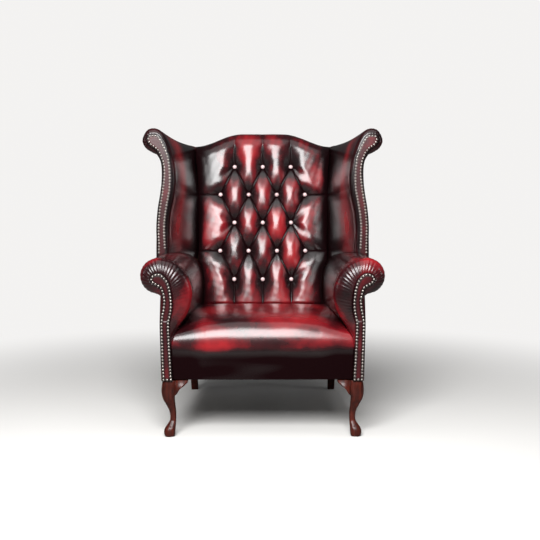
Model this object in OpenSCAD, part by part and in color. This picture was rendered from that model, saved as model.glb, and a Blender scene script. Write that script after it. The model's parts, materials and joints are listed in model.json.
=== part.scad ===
// High-backed wing chair: timber frame, sprung seat, deep-buttoned leather back.
// Millimetres. X runs left to right as seen from the front, the chair faces -Y,
// Z is up, and the origin is on the floor under the middle of the chair.

/* [Overall] */
// Width across the two wing scrolls
chair_w = 908; // [820:1:1000]
// Height of the crest of the back
chair_h = 1104; // [1050:1:1180]
// Height of the seat rails above the floor
leg_h = 200; // [160:1:240]

/* [Seat] */
// Height of the crown of the seat
seat_top = 425; // [405:1:450]
// Depth of the seat from the nail heads on the arm fronts to the inside back
seat_d = 552; // [500:1:600]
// How far the front of the seat stands behind the nail heads
seat_front_gap = 8; // [6:1:14]
// Gap left between the seat and the arms
seat_side_gap = 1.5; // [1:0.5:4]

/* [Arms] */
// Width across the two arm rolls at the front
arm_span = 848; // [800:1:900]
// Least distance between the two inside arms
arm_gap = 488; // [460:1:520]
// Height of the arm rolls
arm_top = 624; // [600:1:660]
// Depth of the rounded, pleated border round each arm front
arm_round = 37; // [28:1:45]
// Thickness of the arm padding
arm_pad = 22; // [16:1:24]

/* [Wings] */
// How far the foot of the wing's front edge stands behind the chair's front
wing_set = 300; // [260:1:340]
// How far the top of the wing scrolls stays below the crest of the back
wing_drop = 9; // [4:1:40]
// Lean of the wing's front edge, in degrees
wing_lean = 3; // [0:0.5:5]
// Depth of the rounded border round each wing front
wing_round = 24; // [16:1:30]
// Thickness of the wing padding
wing_pad = 15; // [10:1:16]

/* [Back] */
// Rake of the inside back, in degrees
back_rake = 12; // [9:0.5:14]
// Rise of the crest above the shoulders at its sides
hump_rise = 52; // [20:1:70]
// Width of the flat part of the crest
crest_w = 180; // [120:1:240]
// How far the back's side seams stand behind the seat, at the seat's height
seam_set = 23; // [15:1:30]
// Crown of the padded back
back_crown = 10; // [4:1:16]
// Padding between the side seams and the webbing
back_pad = 22; // [16:1:26]
// Width of the outside back
back_w = 666; // [640:1:690]
// Depth of the back from its side seams to the outside, at the rails
back_room = 140; // [132:1:150]
// How far the outside back leans out between the rails and the crest
back_lean_run = 99.5; // [80:0.5:110]

/* [Buttoning] */
// Distance between buttons in a row
button_pitch = 117; // [100:1:124]
// Height of the lowest row of buttons above the crown of the seat
first_row_rise = 76; // [66:1:90]
// Height of the crest of the back above the highest row of buttons
crest_margin = 141; // [125:1:160]
// Diameter of a button
button_d = 17; // [12:1:22]
// Depth of the tufts
tuft_depth = 22; // [12:1:28]

/* [Leather and nails] */
// Thickness of the leather
leather = 2; // [1.2:0.1:3]
// Thickness of the facing panels
facing_t = 6; // [4:0.5:8]
// Diameter of a nail head
nail_d = 9.2; // [7:0.1:11]
// Height of a nail head
nail_h = 3.5; // [2.5:0.1:4.5]
// Distance between nail heads
nail_pitch = 11.4; // [10:0.1:16]

/* [Frame] */
// Thickness of the frame boards
board = 24; // [20:1:28]
// Height of the seat rails
rail_h = 90; // [70:1:100]
// Depth of the arm posts
post_d = 38; // [32:1:44]
// Thickness of the wing posts
wing_board = 12; // [9:1:13]
// Diameter of the seat springs' wire
spring_wire = 3.6; // [3:0.1:4.5]
// Number of seat springs
spring_count = 5; // [3:1:6]
// Diameter of the leg bolts
bolt_d = 8; // [6:1:10]

/* [Legs] */
// Width of a front leg at the knee
knee = 50; // [44:1:56]
// Length of the brackets beside a front leg's knee
ear_w = 42; // [30:1:50]
// Height of those brackets
ear_h = 60; // [40:1:80]
// Width of a rear leg at the top
rear_leg_w = 38; // [32:1:44]
// How far a rear leg is raked back
rear_leg_rake = 92; // [60:1:96]

/* [Hidden] */

oxblood = [0.42, 0.07, 0.09];
dark_leather = [0.16, 0.06, 0.07];
mahogany = [0.33, 0.10, 0.06];
beech = [0.76, 0.62, 0.44];
nickel = [0.75, 0.73, 0.70];
padding = [0.92, 0.88, 0.74];
sacking = [0.62, 0.50, 0.33];
black_cloth = [0.08, 0.08, 0.08];
steel = [0.50, 0.52, 0.54];

// Clearance between soft solids and what carries them
gap = 0.3;
// How far a cutting solid runs past what it cuts
over = 2;
// A full turn, in degrees
turn = 360;

// Depths behind the nail heads on the arm fronts, and heights above the floor
seam_d = seat_d + seam_set;
back_foot_d = seam_d + back_room;
back_top_d = back_foot_d + back_lean_run;
chair_d = back_top_d + leather + nail_h;
shoulder_h = chair_h - hump_rise;
wing_top = chair_h - wing_drop;
first_row = seat_top + first_row_rise;
row_pitch = (chair_h - crest_margin - first_row) / 4;
front_y = -chair_d / 2;
half_w = chair_w / 2;
half_back_w = back_w / 2;
// Points of a smooth curve for each point of its outline
samples = 2;

// Depths behind the chair's front, and the heights and widths that several pieces share
facing_d = nail_h;
arm_face_d = facing_d + facing_t + gap;
arm_post_d = arm_face_d + leather + gap;
arm_body_d = arm_face_d + arm_round;
// How far the outside of each arm runs back behind the rails
arm_outer_run = 35;
arm_outer_end = back_foot_d + arm_outer_run;
wing_face_d = wing_set + facing_t + gap;
wing_post_d = wing_face_d + leather + gap;
// Space under the wing covers, and how far the inside wing runs behind the back's seam
wing_lift = 1;
wing_seam = 12;
seat_line_share = 0.91;
seat_line = leg_h + seat_line_share * (seat_top - leg_h);
back_lean = atan(back_lean_run / (chair_h - leg_h));
back_edge_gap = leather + gap;
hump_run_share = 0.84;
hump_run = half_back_w * hump_run_share;
// How far the inside back's seams stand in from the outside back's edges, where it is widest
seam_in = 52;
seam_w = half_back_w - seam_in;
top_roll = 50;
// Foot of the outside arm, across the arm, and how far it stands out past the outside back
arm_foot_share = 0.611;
arm_foot_margin = 1.6;
arm_foot_rear_x = half_back_w + arm_foot_margin;
// Inner side of the arm at its back end, and the reach of the roll there
arm_in_rear = arm_gap / 2 + leather;
arm_out_rear = arm_in_rear + (arm_foot_rear_x - arm_in_rear) / arm_foot_share;
// Inner faces of the back posts, which stand inside the side rails, and how far forward they stand
post_x = arm_foot_rear_x - leather - 2 * gap - 2 * board;
post_foot_run = 75;
post_foot_d = back_foot_d - post_foot_run;
post_top = shoulder_h - board;
hessian_t = 1.2;
webbing_t = 1.6;
webbing_w = 50;
web_d = (back_pad + 3 * gap + hessian_t + 2 * webbing_t) / cos(back_rake);
front_rail_d = arm_post_d + board;
clip_t = 1.2;
deck_z = leg_h + rail_h + spring_wire + clip_t + hessian_t + 4 * gap;
half_pitch = button_pitch / 2;
// Cells of the leather's grid in half a button pitch and in a row pitch
lattice = 3;
field_rows = 4 * lattice;
field_columns = 10;
margin_columns = 3;
row_step = row_pitch / lattice;
last_row = first_row + 4 * row_pitch;
back_bottom = first_row - 3 * row_step;

// Blends, curves and grids

function mix(a, b, t) = a + (b - a) * t;
function flip(list) = [for (i = [len(list) - 1:-1:0]) list[i]];
function smooth(t) = let (c = min(1, max(0, t))) c * c * (3 - 2 * c);
function curve_at(p, i, t) =
  let (a = p[max(i - 1, 0)], b = p[i], c = p[i + 1], d = p[min(i + 2, len(p) - 1)])
  0.5 * (2 * b + (c - a) * t + (2 * a - 5 * b + 4 * c - d) * t * t
    + (3 * b - a - 3 * c + d) * t * t * t);
function curve(p, steps = samples) = concat(
  [for (i = [0:len(p) - 2], k = [0:steps - 1]) curve_at(p, i, k / steps)],
  [p[len(p) - 1]]);
function run_lengths(p, i = 0, total = 0) = i == len(p) - 1
  ? [total]
  : concat([total], run_lengths(p, i + 1, total + norm(p[i + 1] - p[i])));
function point_along(p, lengths, s) =
  let (k = max([for (i = [0:len(p) - 2]) if (lengths[i] <= s) i]))
  mix(p[k], p[k + 1], (s - lengths[k]) / (lengths[k + 1] - lengths[k]));
function spaced(p, pitch) =
  let (lengths = run_lengths(p), total = lengths[len(p) - 1], n = round(total / pitch))
  [for (i = [0:n]) point_along(p, lengths, min(i * total / n, total * 0.99999))];
function inset2(p, t) = [for (i = [0:len(p) - 1])
  let (d = p[min(i + 1, len(p) - 1)] - p[max(i - 1, 0)], n = [-d[1], d[0]] / norm(d))
  p[i] + n * t];

function grid_normal(g, i, j) =
  let (
    du = g[min(i + 1, len(g) - 1)][j] - g[max(i - 1, 0)][j],
    dv = g[i][min(j + 1, len(g[0]) - 1)] - g[i][max(j - 1, 0)],
    n = cross(du, dv))
  n / norm(n);
// The grid moved inwards by t, or by its own distance for each column
function sunk(g, t) = [for (i = [0:len(g) - 1]) [for (j = [0:len(g[0]) - 1])
  g[i][j] - grid_normal(g, i, j) * (is_list(t) ? t[j] : t)]];

// A closed solid between two grids of points: outer is the side that shows
module slab(outer, inner, slant = undef) {
  n = len(outer);
  m = len(outer[0]);
  size = n * m;
  function at(i, j) = i * m + j;
  function leans(i, j) = is_undef(slant) ? false : slant(i, j);
  function quad(a, b, c, d, other) = other ? [[a, b, d], [b, c, d]] : [[a, b, c], [a, c, d]];
  function back(faces) = [for (f = faces) [f[2] + size, f[1] + size, f[0] + size]];
  cells = [for (i = [0:n - 2], j = [0:m - 2])
    quad(at(i, j), at(i, j + 1), at(i + 1, j + 1), at(i + 1, j), leans(i, j))];
  rim = concat(
    [for (j = [0:m - 2]) [at(0, j), at(0, j + 1)]],
    [for (i = [0:n - 2]) [at(i, m - 1), at(i + 1, m - 1)]],
    [for (j = [m - 2:-1:0]) [at(n - 1, j + 1), at(n - 1, j)]],
    [for (i = [n - 2:-1:0]) [at(i + 1, 0), at(i, 0)]]);
  polyhedron(
    points = concat([for (row = outer) each row], [for (row = inner) each row]),
    faces = concat(
      [for (c = cells) each c],
      [for (c = cells) each back(c)],
      [for (e = rim) each [[e[1], e[0], e[0] + size], [e[1], e[0] + size, e[1] + size]]]),
    convexity = 8);
}

// A closed solid through rings of points, from the lowest ring to the highest
module loft(rings) {
  n = len(rings);
  m = len(rings[0]);
  polyhedron(
    points = [for (ring = rings) each ring],
    faces = concat(
      [[for (j = [0:m - 1]) j]],
      [for (i = [0:n - 2], j = [0:m - 1]) let (k = (j + 1) % m)
        each [[i * m + j, (i + 1) * m + j, (i + 1) * m + k], [i * m + j, (i + 1) * m + k, i * m + k]]],
      [[for (j = [m - 1:-1:0]) (n - 1) * m + j]]),
    convexity = 4);
}

module left() {
  mirror([1, 0, 0]) children();
}

// Puts a drawing of x and z upright, its face at depth d behind the front
module upright(d, t) {
  translate([0, front_y + d + t, 0]) rotate([90, 0, 0]) linear_extrude(t) children();
}

// Puts a drawing of depth and z upright, across x from x0 to x1
module side_board(x0, x1) {
  translate([x0, 0, 0]) rotate([90, 0, 90]) linear_extrude(x1 - x0) children();
}

// Arms

// Across the arm from the inside, and up it from the seat rail
arm_roll_shares = [
  [0.613, 0.709], [0.828, 0.727], [0.968, 0.792], [0.995, 0.879], [0.899, 0.957],
  [0.716, 0.998], [0.561, 0.995], [0.394, 0.972], [0.244, 0.929], [0.100, 0.854],
  [0.011, 0.755], [0.011, 0.660], [0.100, 0.542], [0.256, 0.443], [0.344, 0.354],
  [0.378, 0.259]
];
arm_roll_rear_shares = [
  [0.613, 0.709], [0.828, 0.727], [0.968, 0.792], [0.995, 0.879], [0.899, 0.957],
  [0.716, 0.998], [0.561, 0.995], [0.400, 0.972], [0.250, 0.935], [0.110, 0.860],
  [0.020, 0.760], [0.000, 0.660], [-0.020, 0.540], [-0.040, 0.443], [-0.060, 0.354],
  [-0.070, 0.259]
];
facing_roll_shares = [
  [0.544, 0.670], [0.600, 0.757], [0.733, 0.790], [0.794, 0.828], [0.744, 0.870],
  [0.633, 0.882], [0.561, 0.873], [0.494, 0.847], [0.433, 0.809], [0.400, 0.759],
  [0.378, 0.708], [0.364, 0.627], [0.378, 0.561], [0.406, 0.505], [0.422, 0.462],
  [0.411, 0.307]
];
arm_side_shares = [[arm_foot_share, 0], [0.622, 0.250], [0.628, 0.472], [0.625, 0.600], [0.613, 0.709]];
facing_side_shares = [[0.578, 0], [0.594, 0.236], [0.606, 0.476], [0.556, 0.600], [0.544, 0.670]];
facing_foot_share = 0.378;
// How far round the front border each ring of the arm's grid lies, in degrees
border_turns = [0, 35, 65, 90];
run_shares = [0, 0.5, 1];

function arm_in(t) = mix(arm_gap / 2, arm_in_rear, t);
function arm_out(t) = mix(arm_span / 2, arm_out_rear, t);
function arm_point(share, t) = [
  arm_in(t) + share[0] * (arm_out(t) - arm_in(t)),
  leg_h + share[1] * (arm_top - leg_h)];
function arm_path(shares, rear_shares, t) =
  curve([for (i = [0:len(shares) - 1]) arm_point(mix(shares[i], rear_shares[i], t), t)]);
function arm_t(d) = min(1, max(0, (d - arm_body_d) / (arm_outer_end - arm_body_d)));
function arm_roll(t) = arm_path(arm_roll_shares, arm_roll_rear_shares, t);
function arm_side(t) = arm_path(arm_side_shares, arm_side_shares, t);
facing_roll = arm_path(facing_roll_shares, facing_roll_shares, 0);
facing_side = arm_path(facing_side_shares, facing_side_shares, 0);

// Surfaces from the facing's edge, round the front border, to the arm's back end
function arm_grid(face, body, ends) = let (front = body(0)) concat(
  [for (angle = border_turns) [for (i = [0:len(face) - 1])
    let (p = mix(face[i], front[i], sin(angle)))
    [p[0], front_y + arm_face_d + arm_round * (1 - cos(angle)), p[1]]]],
  [for (k = [1:len(run_shares) - 1]) [for (i = [0:len(face) - 1])
    let (d = mix(arm_body_d, ends(i), run_shares[k]), p = body(arm_t(d))[i])
    [p[0], front_y + d, p[1]]]]);
roll_last = len(facing_roll) - 1;
// The inside of the arm ends at the padding's back, and the scroll at the chair's back
function roll_end(i) = mix(
  arm_outer_end,
  seam_depth(arm_roll(0)[i][1]) + back_pad,
  smooth((i - 5 * samples) / (2 * samples)));
function side_end(i) = arm_outer_end;
arm_roll_grid = arm_grid(facing_roll, function (t) arm_roll(t), function (i) roll_end(i));
arm_side_grid = arm_grid(facing_side, function (t) arm_side(t), function (i) side_end(i));

// Height of the top of the arm, and x of its inside face, at a depth
function arm_height(x, d) =
  let (roll = arm_roll(arm_t(d)))
  lookup(x, [for (i = [11 * samples:-1:3 * samples]) roll[i]]);
function arm_inside(z, d) =
  let (roll = arm_roll(arm_t(d)))
  lookup(z, [for (i = [roll_last:-1:7 * samples]) [roll[i][1], roll[i][0]]]);

arm_rail_in_share = 0.55;
arm_rail_x = arm_point([arm_rail_in_share, 0], 0)[0];
arm_rail_w_share = 0.248;
arm_rail_w = arm_rail_w_share * (arm_out_rear - arm_in_rear);
arm_rail_h = 34;
arm_rail_up_share = 0.815;
arm_rail_slew_share = 0.55;
arm_rail_z = leg_h + arm_rail_up_share * (arm_top - leg_h);
arm_rail_d = arm_post_d + post_d;
arm_rail_slew = atan((arm_out(0) - arm_out(1)) * arm_rail_slew_share / (arm_outer_end - arm_rail_d));
// The wing post's tongue stands against the outer face of the arm rail
wing_tongue_x = arm_rail_x + arm_rail_w / cos(arm_rail_slew)
  - (wing_post_d - arm_rail_d) * tan(arm_rail_slew) + gap;
tongue_drop = 64;

// The slot that the wing post's tongue goes through
module tongue_slot() {
  y = front_y + wing_post_d - gap;
  hull() {
    translate([wing_tongue_x - gap, y, arm_top - tongue_drop - over])
      cube([wing_board + 2 * gap, board + 2 * gap, over]);
    translate([wing_tongue_x - gap, y, arm_top])
      cube([wing_post_side[0][0] - wing_tongue_x + 2 * gap, board + 2 * gap, board]);
  }
}

module inside_arm_cover() {
  color(oxblood) difference() {
    slab(arm_roll_grid, sunk(arm_roll_grid, leather));
    tongue_slot();
  }
}

// The padding thins towards the arm post, where the leather lies close to it
least_pad = 1.5;
room_share = 0.6;
arm_foam_depths = [for (p = arm_roll(0))
  let (room = min([for (q = facing_roll) norm(p - q)]))
  leather + gap + min(arm_pad, max(least_pad, room_share * room - leather - gap))];

module arm_foam() {
  color(padding) difference() {
    slab(sunk(arm_roll_grid, leather + gap), sunk(arm_roll_grid, arm_foam_depths));
    tongue_slot();
  }
}

// What the wing stands on: the arm's cover and padding, with a clearance
module arm_shape() {
  slab(sunk(arm_roll_grid, -gap), sunk(arm_roll_grid, leather + arm_pad + 3 * gap));
}

module outside_arm_cover() {
  color(dark_leather) slab(arm_side_grid, sunk(arm_side_grid, leather));
}

// How far the arm post stands inside the facing's outline
post_inset = 6;
facing_outline = concat(
  flip(facing_roll),
  flip([for (i = [0:len(facing_side) - 2]) facing_side[i]]),
  [arm_point([facing_foot_share, 0], 0)]);

module arm_facing() {
  color(dark_leather) upright(facing_d, facing_t) polygon(facing_outline);
}

module arm_post() {
  color(beech) difference() {
    upright(arm_post_d, post_d) offset(delta = -post_inset) polygon(facing_outline);
    translate([front_leg_x, front_y + front_bolt_d, leg_h - over])
      cylinder(d = bolt_d + gap, h = bolt_up + over, $fn = 48);
  }
}

module arm_rail() {
  length = (arm_outer_end - arm_rail_d) / cos(arm_rail_slew) - over;
  color(beech) translate([arm_rail_x, front_y + arm_rail_d, arm_rail_z])
    rotate([0, 0, arm_rail_slew]) cube([arm_rail_w, length, arm_rail_h]);
}

// Wings

// Across from the chair's middle, and up from the arm to the wing's top. The front's shares are of
// the width across the wings, and the rear's are of the width of the outside back.
wing_roll_shares = [
  [0.881, 0.800], [0.925, 0.828], [0.976, 0.860], [1.000, 0.915], [0.963, 0.983],
  [0.903, 1.000], [0.844, 0.977], [0.797, 0.915], [0.760, 0.830], [0.729, 0.713],
  [0.718, 0.586], [0.731, 0.459], [0.758, 0.331], [0.771, 0.204], [0.771, 0.106],
  [0.771, 0]
];
wing_facing_roll_shares = [
  [0.861, 0.805], [0.892, 0.845], [0.930, 0.872], [0.956, 0.909], [0.941, 0.945],
  [0.894, 0.951], [0.866, 0.941], [0.839, 0.912], [0.806, 0.849], [0.771, 0.758],
  [0.756, 0.618], [0.762, 0.497], [0.784, 0.386], [0.805, 0.238], [0.803, 0.106],
  [0.797, 0]
];
wing_rear_roll_shares = [
  [1.014, 0.862], [1.027, 0.883], [1.036, 0.900], [1.027, 0.913], [0.997, 0.921],
  [0.954, 0.924], [0.909, 0.919], [0.874, 0.900], [0.856, 0.858], [0.841, 0.745],
  [0.811, 0.597], [0.799, 0.459], [0.799, 0.331], [0.799, 0.204], [0.799, 0.106],
  [0.799, 0]
];
// How far back each point of the rear edge lies, from the inside back to the outside back
wing_rear_depth_shares = [1, 1, 1, 1, 0.9, 0.7, 0.45, 0.2, 0, 0, 0, 0, 0, 0, 0, 0];
wing_side_shares = [
  [0.888, 0], [0.888, 0.106], [0.883, 0.236], [0.867, 0.374], [0.848, 0.514],
  [0.841, 0.650], [0.850, 0.739], [0.881, 0.800]
];
wing_facing_side_shares = [
  [0.872, 0], [0.871, 0.106], [0.874, 0.246], [0.862, 0.374], [0.839, 0.497],
  [0.823, 0.639], [0.833, 0.730], [0.861, 0.805]
];
wing_rear_side_shares = [
  [1.014, 0], [1.014, 0.106], [1.014, 0.236], [1.014, 0.374], [1.014, 0.514],
  [1.014, 0.650], [1.014, 0.770], [1.014, 0.862]
];

// Height over which the wing's lowest points settle on the arm
settle_h = 60;
settle_points = 4;
settle_share = 0.999;

function wing_front(d0, x, z) = [x, front_y + d0 + (z - arm_top) * tan(wing_lean), z];
function wing_place(share, d, half = half_w) =
  let (x = share[0] * half, z0 = arm_height(x, d) + wing_lift)
  [x, mix(z0, wing_top, share[1])];
function seam_depth(z) = seam_d + (z - seat_line) * tan(back_rake);
function back_depth(z) = back_foot_d + (z - leg_h) * tan(back_lean);
function wing_rear(share, depth_share) =
  let (
    z = mix(arm_top, wing_top, share[1]),
    d = mix(seam_depth(z) + wing_seam, back_depth(z) - gap, depth_share),
    p = wing_place(share, d, half_back_w))
  [p[0], front_y + d, p[1]];
function wing_grid(face_shares, body_shares, rear_shares, depth_shares) =
  let (
    face = curve([for (s = face_shares) wing_place(s, wing_set)]),
    body = curve([for (s = body_shares) wing_place(s, wing_set)]),
    rear = curve([for (i = [0:len(rear_shares) - 1]) wing_rear(rear_shares[i], depth_shares[i])]))
  concat(
    [for (angle = border_turns) [for (i = [0:len(face) - 1])
      let (p = mix(face[i], body[i], sin(angle)))
      wing_front(wing_face_d + wing_round * (1 - cos(angle)), p[0], p[1])]],
    [for (k = [1:len(run_shares) - 1]) [for (i = [0:len(face) - 1])
      let (
        p = mix(wing_front(wing_face_d + wing_round, body[i][0], body[i][1]), rear[i], run_shares[k]),
        floor_z = arm_height(p[0], p[1] - front_y) + wing_lift)
      [p[0], p[1], i >= len(face) - settle_points || face_shares[0][1] == 0 && i < settle_points - 1
        ? mix(floor_z, p[2], smooth((p[2] - floor_z) / settle_h) * settle_share)
        : p[2]]]]);
wing_roll_grid = wing_grid(wing_facing_roll_shares, wing_roll_shares, wing_rear_roll_shares,
  wing_rear_depth_shares);
wing_side_grid = wing_grid(wing_facing_side_shares, wing_side_shares, wing_rear_side_shares,
  [for (s = wing_side_shares) 1]);

module inside_wing_cover() {
  color(oxblood) difference() {
    slab(wing_roll_grid, sunk(wing_roll_grid, leather));
    arm_shape();
  }
}

module wing_foam() {
  color(padding) difference() {
    slab(sunk(wing_roll_grid, leather + gap), sunk(wing_roll_grid, leather + gap + wing_pad));
    arm_shape();
    back_plane(hessian_t + gap) cube([post_x + board, web_d, wing_top]);
  }
}

module outside_wing_cover() {
  color(dark_leather) difference() {
    slab(wing_side_grid, sunk(wing_side_grid, leather));
    arm_shape();
  }
}

// The wing's front plane, leaning back from the arm
module wing_plane(d, t) {
  translate([0, front_y + d, arm_top]) rotate([90 - wing_lean, 0, 0])
    translate([0, 0, -t]) linear_extrude(t) children();
}
function in_plane(p) = [p[0], (p[1] - arm_top) / cos(wing_lean)];
wing_facing_roll = [for (p = curve([for (s = wing_facing_roll_shares) wing_place(s, wing_set)]))
  in_plane(p)];
wing_facing_side = [for (p = curve([for (s = wing_facing_side_shares) wing_place(s, wing_set)]))
  in_plane(p)];

// The facing's foot follows the arm's round top
facing_foot_steps = 6;
wing_facing_foot = [for (k = [1:facing_foot_steps - 1])
  let (x = mix(wing_facing_roll[len(wing_facing_roll) - 1][0], wing_facing_side[0][0],
    k / facing_foot_steps))
  in_plane([x, arm_height(x, wing_set) + wing_lift + gap])];

module wing_facing() {
  color(dark_leather) wing_plane(wing_set, facing_t)
    polygon(concat(wing_facing_side,
      [for (i = [1:len(wing_facing_roll) - 1]) wing_facing_roll[i]], wing_facing_foot));
}

// The post follows the wing's outer side, and its tongue stands beside the arm rail
wing_post_side = [for (i = [1:len(wing_facing_side) - 3]) wing_facing_side[i] - [leather, 0]];
function wing_post_ring(x, d, z) = let (y = front_y + d)
  [[x, y, z], [x + wing_board, y, z], [x + wing_board, y + board, z], [x, y + board, z]];
module wing_post() {
  color(beech) loft(concat(
    [wing_post_ring(wing_tongue_x, wing_post_d, arm_top - tongue_drop)],
    [for (p = wing_post_side)
      wing_post_ring(p[0] - wing_board, wing_post_d + p[1] * sin(wing_lean),
        arm_top + p[1] * cos(wing_lean))]));
}

wing_rail_h = 40;
wing_rail_up_share = 0.64;
wing_rail_z = mix(arm_top, wing_top, wing_rail_up_share);
wing_rail_x0 = wing_side_shares[5][0] * half_w - leather - wing_board - over;
wing_rail_x1 = post_x + board + gap;

module wing_rail() {
  d0 = wing_post_d + board / cos(wing_lean)
    + (wing_rail_z + wing_rail_h - arm_top) * tan(wing_lean) + gap;
  d1 = back_depth(wing_rail_z) - board;
  slew = atan((wing_rail_x0 - wing_rail_x1) / (d1 - d0));
  color(beech) translate([wing_rail_x0, front_y + d0, wing_rail_z])
    rotate([0, 0, slew]) cube([wing_board, (d1 - d0) / cos(slew) - board / 2, wing_rail_h]);
}

// Back

function crest(x) = shoulder_h + hump_rise * smooth((hump_run - abs(x)) / (hump_run - crest_w / 2));

// Side seam of the inside back: heights, and half widths as shares of the widest
seam_height_shares = [0, 0.4, 0.73, 1];
seam_width_shares = [0.945, 0.945, 0.960, 1];
function seam_x(z) =
  let (s = (z - back_bottom) / (shoulder_h - back_bottom))
  min(
    seam_w * lookup(s, [for (i = [0:len(seam_height_shares) - 1])
      [seam_height_shares[i], seam_width_shares[i]]]),
    z < arm_top ? arm_inside(min(z, arm_top - board), seam_d) - seat_side_gap : seam_w);

// Distance from the nearest even whole number, from 0 to 1
function off_even(v) = abs(v - 2 * round(v / 2));
function pillow(a, b) = 0.5 * sin(90 * max(a, b)) + 0.5 * sin(90 * a) * sin(90 * b);
// Rise of the tufted leather at x and z: diamonds in the field, channels above and below
function tuft(x, z) =
  let (
    p = abs(x) / half_pitch,
    q = (z - first_row) / row_pitch,
    inside_q = min(4, max(0, q)),
    band = off_even(inside_q + 1),
    out = p - (3 - band),
    r = min(1, max(0, out)),
    past = max(0, q - 4, -q),
    channel = min(1, off_even(p)),
    diamonds = pillow(off_even(p + inside_q), off_even(p - inside_q)),
    side = 0.5 * sin(90 * max(r, 1 - abs(2 * band - 1)))
      + 0.5 * sin(90 * r) * sin(90 * min(1, 2 * band, max(r, 2 * (1 - band)))),
    channels = p > 3 ? 1 : pillow(channel, channel))
  past > 0 ? mix(channels, 0.9, min(1, past / 1.2)) : out > 0 ? side : diamonds;
function back_rise(x, z) =
  let (
    u = abs(x) / seam_x(z),
    tuck = smooth((z - back_bottom) / (3 * row_step)),
    draw = 1 - pow(u, 6))
  (back_crown * (1 - pow(u, 3)) + tuft_depth * tuft(x, z) * draw) * mix(0.15, 1, tuck);

function column_x(j, z) =
  let (k = margin_columns + field_columns - j, in_field = min(field_columns, abs(k)))
  sign(k) * (in_field * half_pitch / lattice
    + (abs(k) - in_field) / margin_columns * (seam_x(z) - field_columns * half_pitch / lattice));
columns = 2 * (margin_columns + field_columns);
field_heights = concat(
  [back_bottom, back_bottom + row_step, back_bottom + 2 * row_step],
  [for (i = [0:field_rows]) first_row + i * row_step]);
top_turns = [45, 90, 150];
function back_front_row(z) = [for (j = [0:columns])
  let (x = column_x(j, z)) [x, front_y + seam_depth(z) - back_rise(x, z), z]];
function back_neck_row(share) = [for (j = [0:columns])
  let (x = column_x(j, shoulder_h), z = mix(last_row, crest(x) - top_roll, share))
  [x, front_y + seam_depth(z) - back_rise(x, z), z]];
function back_roll_row(angle) = [for (j = [0:columns])
  let (
    x = column_x(j, shoulder_h),
    z0 = crest(x) - top_roll,
    d0 = seam_depth(z0) - back_rise(x, z0),
    d1 = back_depth(crest(x)) - gap)
  [x, front_y + mix(d0, d1, (1 - cos(angle)) / 2), z0 + top_roll * sin(angle)]];
back_grid = concat(
  [for (z = field_heights) back_front_row(z)],
  [back_neck_row(0.45), back_neck_row(1)],
  [for (angle = top_turns) back_roll_row(angle)]);
back_skin = sunk(back_grid, leather);
back_wad = sunk(back_grid, leather + gap);

// The diagonal of each cell follows the pleat that crosses it
function pleat_slant(i, j) =
  let (
    p = (margin_columns + field_columns - j - 0.5) / lattice,
    q = (i + 0.5 - lattice) / lattice)
  off_even(p + q) < off_even(p - q);

module inside_back_cover() {
  color(oxblood) slab(back_grid, back_skin, function (i, j) pleat_slant(i, j));
}

// The foam's back lies flat on the hessian, then over the top rail
top_rail_cap = 34;
function foam_back(p, i) =
  let (
    flat_rows = len(field_heights) + 1,
    z = min(p[2], crest(p[0]) - top_roll - gap),
    rail_t = (i - flat_rows) / (len(top_turns) + 1),
    d = seam_depth(z) + back_pad / cos(back_rake))
  i <= flat_rows
    ? [p[0], front_y + d, z]
    : [p[0], front_y + mix(d, back_depth(crest(p[0])) - board, rail_t),
       crest(p[0]) - top_rail_cap - over * (1 - rail_t)];
module back_foam() {
  color(padding) slab(
    back_wad,
    [for (i = [0:len(back_wad) - 1]) [for (p = back_wad[i]) foam_back(p, i)]],
    function (i, j) pleat_slant(i, j));
}

// Lays children on the plane behind the back's padding: x, depth, and height up the rake
module back_plane(offset_d) {
  translate([0, front_y + seam_d, seat_line]) rotate([-back_rake, 0, 0])
    translate([0, back_pad + offset_d, 0]) children();
}

function frame_depth(z) = seam_depth(z) + web_d;

module back_post() {
  color(beech) difference() {
    side_board(post_x, post_x + board) polygon([
      [front_y + post_foot_d, leg_h],
      [front_y + back_depth(leg_h) - back_edge_gap, leg_h],
      [front_y + back_depth(post_top) - back_edge_gap, post_top],
      [front_y + frame_depth(post_top), post_top],
      [front_y + frame_depth(leg_h + rail_h), leg_h + rail_h]]);
    translate([rear_bolt_x, front_y + rear_leg_d, leg_h - over])
      cylinder(d = bolt_d + gap, h = bolt_up + over, $fn = 48);
  }
}

// The lower rail starts below the seat's line and ends above it
lower_rail_drop = 50;
lower_rail_z = seat_line - lower_rail_drop;
lower_rail_h = 60;
module back_lower_rail() {
  color(beech) side_board(-post_x, post_x) polygon([for (s = [[0, 0], [1, 0], [1, 1], [0, 1]])
    let (z = lower_rail_z + s[1] * lower_rail_h)
    [front_y + frame_depth(z) + s[0] * board, z]]);
}

top_rail_z = last_row + board;
module back_top_rail() {
  color(beech) intersection() {
    side_board(-post_x, post_x) polygon([for (s = [[0, 0], [1, 0], [1, 1], [0, 1]])
      let (z = mix(top_rail_z, chair_h, s[1]))
      [front_y + frame_depth(z) + s[0] * board, z]]);
    translate([0, front_y + chair_d, 0]) rotate([90, 0, 0]) linear_extrude(chair_d)
      polygon(concat(
        [[-post_x, top_rail_z], [post_x, top_rail_z]],
        [for (i = [10:-1:-10]) let (x = post_x * i / 10)
          [x, crest(x) - top_rail_cap - board - over]]));
  }
}

// How far below the crest the outside back ends, as a share of the rolled top
outside_top_share = 0.4;
module outside_back_cover() {
  color(dark_leather)
    translate([0, front_y + back_foot_d, leg_h]) rotate([90 - back_lean, 0, 0])
      translate([0, 0, -leather]) linear_extrude(leather) polygon(concat(
        [[-half_back_w + gap, 0], [half_back_w - gap, 0]],
        [for (i = [10:-1:-10]) let (x = (half_back_w - gap) * i / 10)
          [x, (crest(x) - top_roll * outside_top_share - leg_h) / cos(back_lean)]]));
}

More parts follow.
